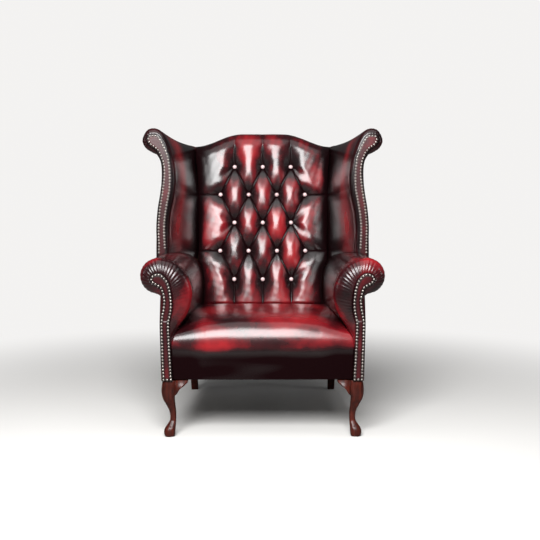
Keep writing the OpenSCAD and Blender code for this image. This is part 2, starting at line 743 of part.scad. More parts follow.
button_h = 7;
// How far a button's base stands in front of the bottom of its tuft
button_lift = 4.5;
// A button's dome in two steps: width at the step, its height, and width at the top
button_step_shares = [0.82, 0.55, 0.35];
module button() {
  step = button_h * button_step_shares[1];
  cylinder(d1 = button_d, d2 = button_d * button_step_shares[0], h = step, $fn = 32);
  translate([0, 0, step]) cylinder(d1 = button_d * button_step_shares[0],
    d2 = button_d * button_step_shares[2], h = button_h - step, $fn = 32);
}
module back_buttons() {
  color(nickel) for (row = [0:4]) {
    count = row % 2 == 0 ? 3 : 4;
    for (k = [0:count - 1]) {
      x = (k - (count - 1) / 2) * button_pitch;
      z = first_row + row * row_pitch;
      translate([x, front_y + seam_depth(z) - back_rise(x, z) - button_lift, z])
        rotate([90 - back_rake, 0, 0]) button();
    }
  }
}

webbing_count = 5;
module back_uprights_webbing() {
  z0 = (lower_rail_z - seat_line + board / 2) / cos(back_rake);
  z1 = (shoulder_h - top_rail_cap - board - seat_line) / cos(back_rake);
  color(sacking) for (k = [0:webbing_count - 1])
    back_plane(2 * gap + hessian_t)
      translate([(k - (webbing_count - 1) / 2) * 2 * webbing_w - webbing_w / 2, 0, z0])
        cube([webbing_w, webbing_t, z1 - z0]);
}

module back_cross_webbing() {
  z1 = (shoulder_h - top_rail_cap - 2 * board - seat_line) / cos(back_rake);
  color(sacking) for (k = [0:webbing_count - 1])
    back_plane(2 * gap + hessian_t + webbing_t)
      translate([-post_x - board / 2, 0, webbing_w + k * (z1 - 3 * webbing_w) / (webbing_count - 1)])
        cube([2 * post_x + board, webbing_t, webbing_w]);
}

module back_hessian() {
  z0 = (lower_rail_z - seat_line + board / 2) / cos(back_rake);
  z1 = (shoulder_h - top_rail_cap - board - seat_line) / cos(back_rake);
  width = arm_gap - 4 * over;
  color(sacking) back_plane(gap) translate([-width / 2, 0, z0]) cube([width, hessian_t, z1 - z0]);
}

// Seat

seat_path_shares = [
  [0.012, 0.015], [0.004, 0.250], [0.002, 0.500], [0.020, 0.720], [0.075, 0.900],
  [0.190, 0.975], [0.380, 1.000], [0.620, 0.990], [0.830, 0.955], [1.000, 0.900]
];
seat_drop_shares = [0, 0, 0, 0.060, 0.160, 0.160, 0.110, 0.070, 0.035, 0.010];
seat_columns = 10;
seat_bow = 6;
seat_line_path = curve([for (i = [0:len(seat_path_shares) - 1]) let (s = seat_path_shares[i])
  [seat_front_gap + s[0] * (seat_d - seat_front_gap), s[1], seat_drop_shares[i]]]);
seat_half_front = arm_point([facing_foot_share, 0], 0)[0] - seat_side_gap;
function seat_point(s, u) =
  let (
    up = s[1] * (1 - s[2] * pow(abs(u), 3)),
    z = leg_h + up * (seat_top - leg_h),
    side_z = leg_h + s[1] * (1 - s[2]) * (seat_top - leg_h),
    edge = min(seat_half_front, arm_inside(side_z, s[0]) - seat_side_gap),
    bow = seat_bow * pow(abs(u), 3) * (1 - smooth(s[0] / (2 * arm_round))))
  [u * edge, front_y + s[0] + bow, z];
seat_grid = [for (s = seat_line_path) [for (j = [0:seat_columns])
  seat_point(s, 1 - 2 * j / seat_columns)]];
module seat_cover() {
  color(oxblood) slab(seat_grid, sunk(seat_grid, leather));
}

seat_wad = sunk(seat_grid, leather + gap);
// The foam's underside lies on the hessian, and its lip hangs in front of the rail
seat_lip_row = len([for (row = seat_wad) if (row[0][2] < deck_z) 1]);
module seat_foam() {
  color(padding) slab(seat_wad, [for (i = [0:len(seat_wad) - 1]) [for (p = seat_wad[i])
    let (back = i - seat_lip_row, spread = front_rail_d - gap + max(0, back) * over)
    i < seat_lip_row
      ? [p[0], front_y + front_rail_d - gap, p[2] - over]
      : [p[0], front_y + max(p[1] - front_y, spread), deck_z]]]);
}

module seat_hessian() {
  d0 = front_rail_d + over;
  edge = arm_inside(deck_z + board, seat_d) - over;
  color(sacking) translate([-edge, front_y + d0, deck_z - gap - hessian_t])
    cube([2 * edge, seat_d - d0, hessian_t]);
}

// Sprung seat

spring_waves = 10;
spring_swing = 22;
spring_d0 = front_rail_d + board / 2;
spring_d1 = back_foot_d - back_edge_gap - board * 1.5;
// A spring is straight in its clips, and swings out to its full width past them
spring_straight_share = 0.03;
spring_ease_share = 0.125;
function spring_route(t) = [
  spring_swing * sin(turn * spring_waves * t)
    * min(1, max(0, min(t, 1 - t) - spring_straight_share) / spring_ease_share),
  mix(spring_d0, spring_d1, t)];
module seat_spring() {
  steps = spring_waves * 6;
  r = spring_wire / 2;
  route = [for (i = [0:steps]) spring_route(i / steps)];
  rings = [for (i = [0:steps])
    let (
      d = route[min(i + 1, steps)] - route[max(i - 1, 0)],
      side = [d[1], -d[0]] / norm(d))
    [for (k = [0:5]) let (a = turn * k / 6)
      [route[i][0] + side[0] * r * cos(a), route[i][1] + side[1] * r * cos(a), r * sin(a)]]];
  loft([for (ring = rings) flip(ring)]);
}

spring_z = leg_h + rail_h + spring_wire / 2;
// Half of the width that the springs are spread over
spring_spread = 192;
function spring_x(k) = (k - (spring_count - 1) / 2) * 2 * spring_spread / max(1, spring_count - 1);
module seat_springs() {
  color(steel) for (k = [0:spring_count - 1])
    translate([spring_x(k), front_y, spring_z]) seat_spring();
}

clip_w = 14;
clip_l = 20;
// A clip is a strip nailed to the rail and folded over the spring's end
module spring_clip() {
  inner = spring_wire + 2 * gap;
  difference() {
    translate([-clip_w / 2, -clip_l / 2, 0]) cube([clip_w, clip_l, inner + clip_t]);
    translate([-inner / 2, -clip_l / 2 - over, -over]) cube([inner, clip_l + 2 * over, inner + over]);
  }
}
module spring_clips() {
  color(steel) for (k = [0:spring_count - 1], d = [spring_d0 + clip_l / 4, spring_d1 - clip_l / 4])
    translate([spring_x(k), front_y + d, leg_h + rail_h]) spring_clip();
}

// Frame

module front_seat_rail() {
  half = arm_point([facing_foot_share, 0], 0)[0] + post_inset - gap;
  color(beech) translate([-half, front_y + front_rail_d, leg_h]) cube([2 * half, board, rail_h]);
}

module back_seat_rail() {
  color(beech) translate([-post_x, front_y + back_foot_d - back_edge_gap - 2 * board, leg_h])
    cube([2 * post_x, board, rail_h]);
}

side_rail_d0 = arm_post_d + post_d;
side_rail_d1 = back_foot_d - back_edge_gap;
side_rail_x0 = arm_point(arm_side_shares[0], 0)[0] - leather - gap - board - over;
side_rail_x1 = post_x + board;
side_rail_slew = atan((side_rail_x0 - side_rail_x1) / (side_rail_d1 - side_rail_d0));
module seat_rail() {
  color(beech) translate([side_rail_x0, front_y + side_rail_d0, leg_h])
    rotate([0, 0, side_rail_slew])
      cube([board, (side_rail_d1 - side_rail_d0) / cos(side_rail_slew) - over, rail_h]);
}

block_h = 60;
block_w = 64;
module corner_blocks() {
  color(beech) for (side = [0, 1]) mirror([side, 0, 0]) {
    translate([side_rail_x0 - over, front_y + front_rail_d + board, leg_h])
      linear_extrude(block_h) polygon([[0, 0], [-block_w, 0], [-over, block_w]]);
    translate([post_x, front_y + back_foot_d - back_edge_gap - 2 * board, leg_h])
      linear_extrude(block_h) polygon([[0, 0], [0, -block_w], [-block_w, 0]]);
  }
}

dust_t = 1;
module dust_cover() {
  x = post_x - over;
  d0 = front_rail_d + over;
  d1 = back_foot_d - back_edge_gap - board - over;
  cut = block_w;
  color(black_cloth) translate([0, 0, leg_h - dust_t]) linear_extrude(dust_t) polygon([
    [-x + cut, front_y + d0], [x - cut, front_y + d0], [x, front_y + d0 + cut],
    [x, front_y + d1 - cut], [x - cut, front_y + d1], [-x + cut, front_y + d1],
    [-x, front_y + d1 - cut], [-x, front_y + d0 + cut]]);
}

// Legs

// Up the leg, and the outer and inner faces as shares of the knee, from its outer corner
front_leg_shares = [
  [0, 0.24, 0.84], [0.030, 0.16, 0.90], [0.090, 0.13, 0.92], [0.150, 0.20, 0.93],
  [0.200, 0.34, 0.95], [0.275, 0.52, 0.96], [0.360, 0.54, 0.97], [0.450, 0.48, 0.96],
  [0.560, 0.30, 0.92], [0.680, 0.08, 0.90], [0.800, 0, 0.96], [0.900, 0.02, 1], [1, 0.08, 1]
];
leg_round_share = 0.5;
foot_round_share = 0.8;
leg_sides = 16;
front_leg_share = 0.6;
front_leg_corner_x = arm_point([front_leg_share, 0], 0)[0];
front_leg_corner_d = facing_d + facing_t / 2;
front_leg_x = front_leg_corner_x - knee * 0.5;
front_bolt_d = arm_post_d + post_d / 2;
bolt_up = 40;
bolt_down = 30;

// A square with rounded sides, between its near and far corners
function leg_ring(a, b, z, power) = [for (k = [0:leg_sides - 1])
  let (
    t = turn * (k + 0.5) / leg_sides,
    r = (b - a) / 2,
    c = (a + b) / 2,
    x = sign(cos(t)) * pow(abs(cos(t)), power),
    y = sign(sin(t)) * pow(abs(sin(t)), power))
  [-(c + r * x), c + r * y, z]];

// The bracket beside the knee, out from the knee and down from the rail
leg_ear_shares = [
  [0.3, 0], [-1, 0], [-1, -0.10], [-0.72, -0.30], [-0.34, -0.52], [-0.06, -0.82], [0.3, -1]
];
leg_ear_side_share = 0.7;
module leg_ear() {
  linear_extrude(knee / 2) polygon([for (s = leg_ear_shares) [s[0] * ear_w, s[1] * ear_h]]);
}

module front_leg() {
  rings = curve(front_leg_shares, 2);
  color(mahogany) difference() {
    translate([front_leg_corner_x, front_y + front_leg_corner_d, 0]) union() {
      loft([for (s = rings) flip(leg_ring(s[1] * knee, s[2] * knee, s[0] * leg_h,
        mix(foot_round_share, leg_round_share, s[0])))]);
      translate([-knee, knee * leg_ear_side_share, leg_h]) rotate([90, 0, 0]) leg_ear();
      translate([-knee * leg_ear_side_share, knee, leg_h]) rotate([90, 0, 90])
        mirror([1, 0, 0]) leg_ear();
    }
    translate([front_leg_x, front_y + front_bolt_d, leg_h - bolt_down])
      cylinder(d = bolt_d + gap, h = bolt_down + over, $fn = 48);
  }
}

rear_leg_x = post_x + board / 2;
rear_bolt_x = rear_leg_x;
rear_leg_d = back_foot_d - back_edge_gap - board;
// Up the leg, how far it is raked back, and its width
rear_leg_path_shares = [
  [0, 1, 0.74], [0.25, 0.76, 0.78], [0.5, 0.5, 0.84], [0.75, 0.24, 0.92], [1, 0, 1]
];
module rear_leg() {
  color(mahogany) difference() {
    translate([rear_leg_x, front_y + rear_leg_d, 0])
      loft([for (s = rear_leg_path_shares)
        let (h = s[2] * rear_leg_w / 2, y = s[1] * rear_leg_rake, z = s[0] * leg_h)
        [[-h, y - h, z], [h, y - h, z], [h, y + h, z], [-h, y + h, z]]]);
    translate([rear_bolt_x, front_y + rear_leg_d, leg_h - bolt_down])
      cylinder(d = bolt_d + gap, h = bolt_down + over, $fn = 48);
  }
}

module leg_bolts() {
  color(steel) for (side = [1, -1], p = [[front_leg_x, front_bolt_d], [rear_bolt_x, rear_leg_d]])
    translate([side * p[0], front_y + p[1], leg_h - bolt_down])
      cylinder(d = bolt_d, h = bolt_down + bolt_up, $fn = 48);
}

// Nails

// Width of a nail head's flat top
nail_crown_share = 0.45;
module nail() {
  cylinder(d1 = nail_d, d2 = nail_d * nail_crown_share, h = nail_h, $fn = 24);
}

// Leather left between a nail head and the facing's edge
nail_margin = 0.8;
nail_in = nail_d / 2 + nail_margin;
// Two rows follow the facing's edges and meet round the scroll
arm_nail_side = inset2(facing_side, nail_in);
arm_nail_z = leg_h + nail_in;
arm_nail_start = [arm_nail_side[0][0], arm_nail_z];
arm_nail_foot = [arm_point([facing_foot_share, 0], 0)[0] + nail_in, arm_nail_z];
arm_nail_path = concat(
  [arm_nail_start],
  [for (i = [1:len(arm_nail_side) - 1]) arm_nail_side[i]],
  inset2([for (i = [1:roll_last]) facing_roll[i]], nail_in),
  [arm_nail_foot]);
arm_nail_bottom = spaced([arm_nail_foot, arm_nail_start], nail_pitch);
module arm_nails() {
  color(nickel)
    for (p = concat(
        spaced(arm_nail_path, nail_pitch),
        [for (i = [1:len(arm_nail_bottom) - 2]) arm_nail_bottom[i]]))
      translate([p[0], front_y + facing_d, p[1]]) rotate([90, 0, 0]) nail();
}

wing_nail_path = concat(
  inset2(wing_facing_side, nail_in),
  inset2([for (i = [1:len(wing_facing_roll) - 1]) wing_facing_roll[i]], nail_in));
module wing_nails() {
  color(nickel) translate([0, front_y + wing_set, arm_top]) rotate([90 - wing_lean, 0, 0])
    for (p = spaced([for (i = [1:len(wing_nail_path) - 2]) wing_nail_path[i]], nail_pitch))
      translate([p[0], p[1], 0]) nail();
}

back_nail_pitch = 26;
module outside_back_nails() {
  edge = half_back_w - nail_d;
  top = (shoulder_h - leg_h) / cos(back_lean) - top_roll;
  n = round(top / back_nail_pitch);
  color(nickel) translate([0, front_y + back_foot_d + leather / cos(back_lean), leg_h])
    rotate([90 - back_lean, 0, 0]) for (side = [-1, 1], k = [0:n])
      translate([side * edge, nail_d + k * (top - nail_d) / n, 0]) mirror([0, 0, 1]) nail();
}

module left_seat_rail() { left() seat_rail(); }
module right_seat_rail() { seat_rail(); }
module left_back_post() { left() back_post(); }
module right_back_post() { back_post(); }
module left_arm_post() { left() arm_post(); }
module right_arm_post() { arm_post(); }
module left_arm_rail() { left() arm_rail(); }
module right_arm_rail() { arm_rail(); }
module left_wing_post() { left() wing_post(); }
module right_wing_post() { wing_post(); }
module left_wing_rail() { left() wing_rail(); }
module right_wing_rail() { wing_rail(); }
module left_front_leg() { left() front_leg(); }
module right_front_leg() { front_leg(); }
module left_rear_leg() { left() rear_leg(); }
module right_rear_leg() { rear_leg(); }
module left_arm_foam() { left() arm_foam(); }
module right_arm_foam() { arm_foam(); }
module left_wing_foam() { left() wing_foam(); }
module right_wing_foam() { wing_foam(); }
module left_inside_arm_cover() { left() inside_arm_cover(); }
module right_inside_arm_cover() { inside_arm_cover(); }
module left_outside_arm_cover() { left() outside_arm_cover(); }
module right_outside_arm_cover() { outside_arm_cover(); }
module left_arm_facing() { left() arm_facing(); }
module right_arm_facing() { arm_facing(); }
module left_inside_wing_cover() { left() inside_wing_cover(); }
module right_inside_wing_cover() { inside_wing_cover(); }
module left_outside_wing_cover() { left() outside_wing_cover(); }
module right_outside_wing_cover() { outside_wing_cover(); }
module left_wing_facing() { left() wing_facing(); }
module right_wing_facing() { wing_facing(); }
module left_arm_nails() { left() arm_nails(); }
module right_arm_nails() { arm_nails(); }
module left_wing_nails() { left() wing_nails(); }
module right_wing_nails() { wing_nails(); }

front_seat_rail();
back_seat_rail();
left_seat_rail();
right_seat_rail();
corner_blocks();
left_back_post();
right_back_post();
back_lower_rail();
back_top_rail();
left_arm_post();
right_arm_post();
left_arm_rail();
right_arm_rail();
left_wing_post();
right_wing_post();
left_wing_rail();
right_wing_rail();
left_front_leg();
right_front_leg();
left_rear_leg();
right_rear_leg();
leg_bolts();
seat_springs();
spring_clips();
seat_hessian();
seat_foam();
dust_cover();
back_uprights_webbing();
back_cross_webbing();
back_hessian();
back_foam();
left_arm_foam();
right_arm_foam();
left_wing_foam();
right_wing_foam();
seat_cover();
inside_back_cover();
outside_back_cover();
left_inside_arm_cover();
right_inside_arm_cover();
left_outside_arm_cover();
right_outside_arm_cover();
left_arm_facing();
right_arm_facing();
left_inside_wing_cover();
right_inside_wing_cover();
left_outside_wing_cover();
right_outside_wing_cover();
left_wing_facing();
right_wing_facing();
back_buttons();
left_arm_nails();
right_arm_nails();
left_wing_nails();
right_wing_nails();
outside_back_nails();
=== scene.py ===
"""The wing chair's looks: buttoned antique leather, nails and polished legs over the frame."""

import json
import math

import bmesh
import bpy
import numpy as np
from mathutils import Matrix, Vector
from mathutils.geometry import delaunay_2d_cdt


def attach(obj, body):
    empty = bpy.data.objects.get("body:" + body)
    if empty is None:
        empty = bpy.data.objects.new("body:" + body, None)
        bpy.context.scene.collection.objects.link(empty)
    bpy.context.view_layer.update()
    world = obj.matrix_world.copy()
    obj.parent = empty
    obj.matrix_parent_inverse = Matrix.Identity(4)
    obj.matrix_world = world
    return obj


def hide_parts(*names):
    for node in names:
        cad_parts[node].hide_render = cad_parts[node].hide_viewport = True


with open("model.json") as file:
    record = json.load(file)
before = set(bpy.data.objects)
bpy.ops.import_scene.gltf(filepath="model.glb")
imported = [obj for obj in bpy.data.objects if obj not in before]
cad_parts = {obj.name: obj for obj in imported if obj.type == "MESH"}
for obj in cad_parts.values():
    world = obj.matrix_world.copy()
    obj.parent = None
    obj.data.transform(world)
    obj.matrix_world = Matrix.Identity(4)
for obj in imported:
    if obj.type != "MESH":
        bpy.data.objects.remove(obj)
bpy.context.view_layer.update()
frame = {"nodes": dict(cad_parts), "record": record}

MM = 0.001

# Sizes of the chair, in millimetres, and shares of them, as the construction has them
CHAIR_W, CHAIR_D, CHAIR_H, LEG_H = 908, 820, 1104, 200
SEAT_TOP, SEAT_D, SEAT_FRONT_GAP, SEAT_SIDE_GAP, SEAT_LINE_SHARE = 425, 552, 8, 1.5, 0.91
ARM_SPAN, ARM_GAP, ARM_REAR_SPAN, ARM_TOP, ARM_ROUND, ARM_REAR_RUN = 848, 488, 782, 624, 37, 35
WING_SET, WING_TOP, WING_LEAN, WING_ROUND = 300, 1095, math.radians(3), 24
WING_SEAM, WING_LIFT, SETTLE_H = 12, 1, 60
BACK_RAKE, SHOULDER_H, CREST_W, CREST_RUN_SHARE = math.radians(12), 1052, 180, 0.84
BACK_CROWN, BACK_W, BACK_FOOT_D, BACK_PAD, TOP_ROLL, SEAM_D, SEAM_W = 10, 666, 715, 22, 70, 575, 281
BUTTON_PITCH, ROW_PITCH, FIRST_ROW, TUFT_DEPTH, ROWS = 117, 115.5, 501, 22, 5
LEATHER, FACING_T, NAIL_H, GAP, BOARD = 2, 6, 3.5, 0.3, 24
KNEE, EAR_W, EAR_H, EAR_EDGE, EAR_SET_SHARE = 50, 42, 60, 1.5, 0.7
REAR_LEG_W, REAR_LEG_RAKE, REAR_LEG_BEVEL, POST_X = 38, 92, 3, 286

# The cross seam on the arm facings, the seat's smooth and red parts, and its two soft creases,
# which lie so far in front of the back
FACING_SEAM_Z, SEAT_SMOOTH_W, SEAT_FRONT_RED, SEAT_CREASES = 408, 200, 90, (46, 78)
# The longer rows of buttons end this many half pitches from the middle
ROW_END = 3
# Steps between two points of an outline, and between the arm's stored outlines
CURVE_STEPS, ARM_TABLE_STEPS = 8, 24

# Places that follow: z is a height, and d a depth behind the front plane
FRONT_Y = -CHAIR_D / 2
HALF_W = CHAIR_W / 2
ARM_FACE_D = NAIL_H + FACING_T + GAP
ARM_BODY_D = ARM_FACE_D + ARM_ROUND
ARM_OUTER_END = BACK_FOOT_D + ARM_REAR_RUN
WING_FACE_D = WING_SET + FACING_T + GAP
SEAT_LINE = LEG_H + SEAT_LINE_SHARE * (SEAT_TOP - LEG_H)
BACK_LEAN = math.atan((CHAIR_D - LEATHER - NAIL_H - BACK_FOOT_D) / (CHAIR_H - LEG_H))
HALF_PITCH = BUTTON_PITCH / 2
LAST_ROW = FIRST_ROW + (ROWS - 1) * ROW_PITCH
BACK_BOTTOM = FIRST_ROW - ROW_PITCH

# Outlines as shares of the sizes that they follow, as the construction has them
ARM_ROLL = np.array([
    [0.613, 0.709], [0.828, 0.727], [0.968, 0.792], [0.995, 0.879], [0.899, 0.957],
    [0.716, 0.998], [0.561, 0.995], [0.394, 0.972], [0.244, 0.929], [0.1, 0.854],
    [0.011, 0.755], [0.011, 0.66], [0.1, 0.542], [0.256, 0.443], [0.344, 0.354],
    [0.378, 0.259]])
ARM_ROLL_REAR = np.concatenate([ARM_ROLL[:7], [
    [0.4, 0.972], [0.25, 0.935], [0.11, 0.86], [0.02, 0.76], [0, 0.66],
    [-0.02, 0.54], [-0.04, 0.443], [-0.06, 0.354], [-0.07, 0.259]]])
FACING_ROLL = np.array([
    [0.544, 0.67], [0.6, 0.757], [0.733, 0.79], [0.794, 0.828], [0.744, 0.87],
    [0.633, 0.882], [0.561, 0.873], [0.494, 0.847], [0.433, 0.809], [0.4, 0.759],
    [0.378, 0.708], [0.364, 0.627], [0.378, 0.561], [0.406, 0.505], [0.422, 0.462],
    [0.411, 0.307]])
ARM_SIDE = np.array([[0.611, 0], [0.622, 0.25], [0.628, 0.472], [0.625, 0.6], [0.613, 0.709]])
FACING_SIDE = np.array([[0.578, 0], [0.594, 0.236], [0.606, 0.476], [0.556, 0.6], [0.544, 0.67]])
FACING_FOOT = 0.378
WING_ROLL = np.array([
    [0.881, 0.8], [0.925, 0.828], [0.976, 0.86], [1, 0.915], [0.963, 0.983],
    [0.903, 1], [0.844, 0.977], [0.797, 0.915], [0.76, 0.83], [0.729, 0.713],
    [0.718, 0.586], [0.731, 0.459], [0.758, 0.331], [0.771, 0.204], [0.771, 0.106],
    [0.771, 0]])
WING_FACING_ROLL = np.array([
    [0.861, 0.805], [0.892, 0.845], [0.93, 0.872], [0.956, 0.909], [0.941, 0.945],
    [0.894, 0.951], [0.866, 0.941], [0.839, 0.912], [0.806, 0.849], [0.771, 0.758],
    [0.756, 0.618], [0.762, 0.497], [0.784, 0.386], [0.805, 0.238], [0.803, 0.106],
    [0.797, 0]])
WING_REAR_ROLL = np.array([
    [0.744, 0.862], [0.753, 0.883], [0.76, 0.9], [0.753, 0.913], [0.731, 0.921],
    [0.7, 0.924], [0.667, 0.919], [0.641, 0.9], [0.628, 0.858], [0.617, 0.745],
    [0.595, 0.597], *([0.586, up] for up in (0.459, 0.331, 0.204, 0.106, 0))])
WING_REAR_DEPTH = np.array([1, 1, 1, 1, 0.9, 0.7, 0.45, 0.2] + [0] * 8)
WING_SIDE = np.array([
    [0.888, 0], [0.888, 0.106], [0.883, 0.236], [0.867, 0.374], [0.848, 0.514],
    [0.841, 0.65], [0.85, 0.739], [0.881, 0.8]])
WING_FACING_SIDE = np.array([
    [0.872, 0], [0.871, 0.106], [0.874, 0.246], [0.862, 0.374], [0.839, 0.497],
    [0.823, 0.639], [0.833, 0.73], [0.861, 0.805]])
WING_REAR_SIDE = np.array(
    [[0.744, up] for up in (0, 0.106, 0.236, 0.374, 0.514, 0.65, 0.77, 0.862)])
SEAT_PATH = np.array([
    [0.012, 0.015, 0], [0.004, 0.25, 0], [0.002, 0.5, 0], [0.02, 0.72, 0.06],
    [0.075, 0.9, 0.16], [0.19, 0.975, 0.16], [0.38, 1, 0.11],
    [0.62, 0.99, 0.07], [0.83, 0.955, 0.035], [1, 0.9, 0.01]])
SEAM_HEIGHTS = [0, 0.4, 0.73, 1]
SEAM_WIDTHS = [0.945, 0.945, 0.96, 1]
# How leather turns in beside a seam: out and back from the edge, in millimetres
SIDE_TURN = [(0.6, 3), (0.8, 9), (0.4, 17), (-1, 27)]
FRONT_LEG = np.array([
    [0, 0.24, 0.84], [0.03, 0.16, 0.9], [0.09, 0.13, 0.92], [0.15, 0.2, 0.93],
    [0.2, 0.34, 0.95], [0.275, 0.52, 0.96], [0.36, 0.54, 0.97], [0.45, 0.48, 0.96],
    [0.56, 0.3, 0.92], [0.68, 0.08, 0.9], [0.8, 0, 0.96], [0.9, 0.02, 1], [1, 0.08, 1]])
LEG_EAR = np.array([[0.3, 0], [-1, 0], [-1, -0.1], [-0.72, -0.3], [-0.34, -0.52],
                    [-0.06, -0.82], [0.3, -1]])
REAR_LEG = np.array([[0, 1, 0.74], [0.25, 0.76, 0.78], [0.5, 0.5, 0.84], [0.75, 0.24, 0.92],
                     [1, 0, 1]])


# Blends and curves

def mix(a, b, t):
    return a + (b - a) * t


def smooth(t):
    c = np.clip(t, 0, 1)
    return c * c * (3 - 2 * c)


def hump(off, width):
    """1 where off is 0, and nearly 0 from about twice the width on."""
    return np.exp(-(off / width) ** 2)


def curve(points, steps):
    """A smooth curve through the points, with so many steps between two of them."""
    points = np.asarray(points, float)
    count = len(points)
    u = np.linspace(0, count - 1, (count - 1) * steps + 1)
    i = np.minimum(u.astype(int), count - 2)
    t = (u - i)[:, None]
    a, b = points[np.maximum(i - 1, 0)], points[i]
    c, d = points[i + 1], points[np.minimum(i + 2, count - 1)]
    return 0.5 * (2 * b + (c - a) * t + (2 * a - 5 * b + 4 * c - d) * t ** 2
                  + (3 * b - a - 3 * c + d) * t ** 3)


def placed(x, d, z):
    """Points across, at a depth behind the front plane, and up."""
    return np.stack([x, FRONT_Y + d, z], axis=1)


def run_lengths(path):
    return np.concatenate([[0], np.cumsum(np.linalg.norm(np.diff(path, axis=0), axis=1))])


def unit(vectors):
    return vectors / np.maximum(np.linalg.norm(vectors, axis=-1, keepdims=True), 1e-9)


def normals(grid):
    return unit(np.cross(np.gradient(grid, axis=0), np.gradient(grid, axis=1)))


def noise(x, y, z, seed):
    """A gentle, repeatable unevenness between about -1 and 1."""
    total = np.zeros(np.broadcast(x, y, z).shape)
    rng = np.random.default_rng(seed)
    for scale, weight in ((1, 0.5), (2.1, 0.3), (4.3, 0.2)):
        for _ in range(3):
            d, phase = rng.normal(size=3) * scale, rng.uniform(0, 2 * math.pi)
            total += weight / 1.6 * np.sin(x * d[0] + y * d[1] + z * d[2] + phase)
    return total


# Meshes

def add_object(name, data):
    obj = bpy.data.objects.new(name, data)
    bpy.context.scene.collection.objects.link(obj)
    return obj


def piece(name, vertices, faces, slot, replaces, wear_and_shade=None, mirror=False, merge=0):
    """A smooth mesh that rides on the chair, in millimetres until here."""
    vertices = np.array(vertices, float) * MM
    if mirror:
        vertices[:, 0] *= -1
    mesh = bpy.data.meshes.new(name)
    mesh.from_pydata(vertices.tolist(), [], [[int(k) for k in f] for f in faces])
    if wear_and_shade is not None:
        layer = mesh.attributes.new("wear_and_shade", "FLOAT", "POINT")
        layer.data.foreach_set("value", np.asarray(wear_and_shade, float).ravel())
    solid = bmesh.new()
    solid.from_mesh(mesh)
    if merge:
        bmesh.ops.remove_doubles(solid, verts=solid.verts, dist=merge * MM)
    bmesh.ops.recalc_face_normals(solid, faces=solid.faces)
    solid.to_mesh(mesh)
    solid.free()
    mesh.polygons.foreach_set("use_smooth", [True] * len(mesh.polygons))
    obj = add_object(name, mesh)
    mesh.materials.append(FINISHES[slot])
    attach(obj, "root")
    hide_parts(*replaces)
    return obj


def grid_faces(rows, columns, closed=False):
    last = columns if closed else columns - 1
    return [(i * columns + j, (i + 1) * columns + j,
             (i + 1) * columns + (j + 1) % columns, i * columns + (j + 1) % columns)
            for i in range(rows - 1) for j in range(last)]


def tube_faces(rows, sides, start=0):
    """The faces of a closed tube with flat ends, for rings of vertices from the start on."""
    ends = [tuple(reversed(range(sides))), tuple((rows - 1) * sides + k for k in range(sides))]
    return [tuple(start + k for k in f) for f in grid_faces(rows, sides, closed=True) + ends]


def turn_in(grid):
    """Adds columns at both ends where the leather turns in beside its neighbours."""
    n = unit(normals(grid)[:, [0, -1]] * [0, 1, 1])
    start = [grid[:, 0] - n[:, 0] * back + [out, 0, 0] for out, back in reversed(SIDE_TURN)]
    end = [grid[:, -1] - n[:, 1] * back - [out, 0, 0] for out, back in SIDE_TURN]
    return np.stack(start + list(np.moveaxis(grid, 1, 0)) + end, axis=1)


def widened(values):
    """Carries a table of values out over the turned-in columns."""
    return np.pad(values, ((0, 0), (len(SIDE_TURN), len(SIDE_TURN))), mode="edge")


def held(values, length):
    """Carries the last row on, to the given number of rows."""
    return np.concatenate([values, np.repeat(values[-1:], length - len(values), axis=0)])


def blotches(grid, sizes, seed):
    """Soft patches on a cover; the sizes are theirs across, front to back and up."""
    return noise(*(grid[..., k] / sizes[k] for k in range(3)), seed)


def worn_and_shaded(base, **terms):
    """Wear and painted shade from a base and named terms, each with its weight: red above 0 and
    darker below.
    """
    return base + sum(weight * share for weight, share in terms.values())


def plain_wear(grid, base, spread, seed):
    """The wear of an outside cover, which nothing rubs."""
    return base + spread * blotches(grid, [1 / 0.006] * 3, seed)


def skin(name, grid, slot, replaces, rise, wear_and_shade, mirror=False):
    """A leather cover: a grid of points that stands proud by rise, with its thickness inside."""
    n = normals(grid)
    outer = grid + n * np.asarray(rise)[..., None]
    n = normals(outer)
    rows, columns = grid.shape[:2]
    inner = outer - n * LEATHER
    faces = grid_faces(rows, columns)
    size = rows * columns
    faces += [tuple(k + size for k in reversed(f)) for f in faces]
    index = np.arange(size).reshape(rows, columns)
    rim = np.concatenate([index[0], index[1:, -1], index[-1, -2::-1], index[-2:0:-1, 0]])
    faces += [(a, b, b + size, a + size) for a, b in zip(rim, np.roll(rim, -1))]
    wear_and_shade = np.broadcast_to(np.asarray(wear_and_shade, float), (rows, columns)).ravel()
    return piece(name, np.concatenate([outer.reshape(-1, 3), inner.reshape(-1, 3)]), faces, slot,
                 replaces, np.concatenate([wear_and_shade, wear_and_shade]), mirror)


# Materials

# Leather with this wear or less has lost all its shine: its reflection is painted out, as painted
# shade in the folds and round the buttons
PAINTED_SHADE_WEAR = -0.52


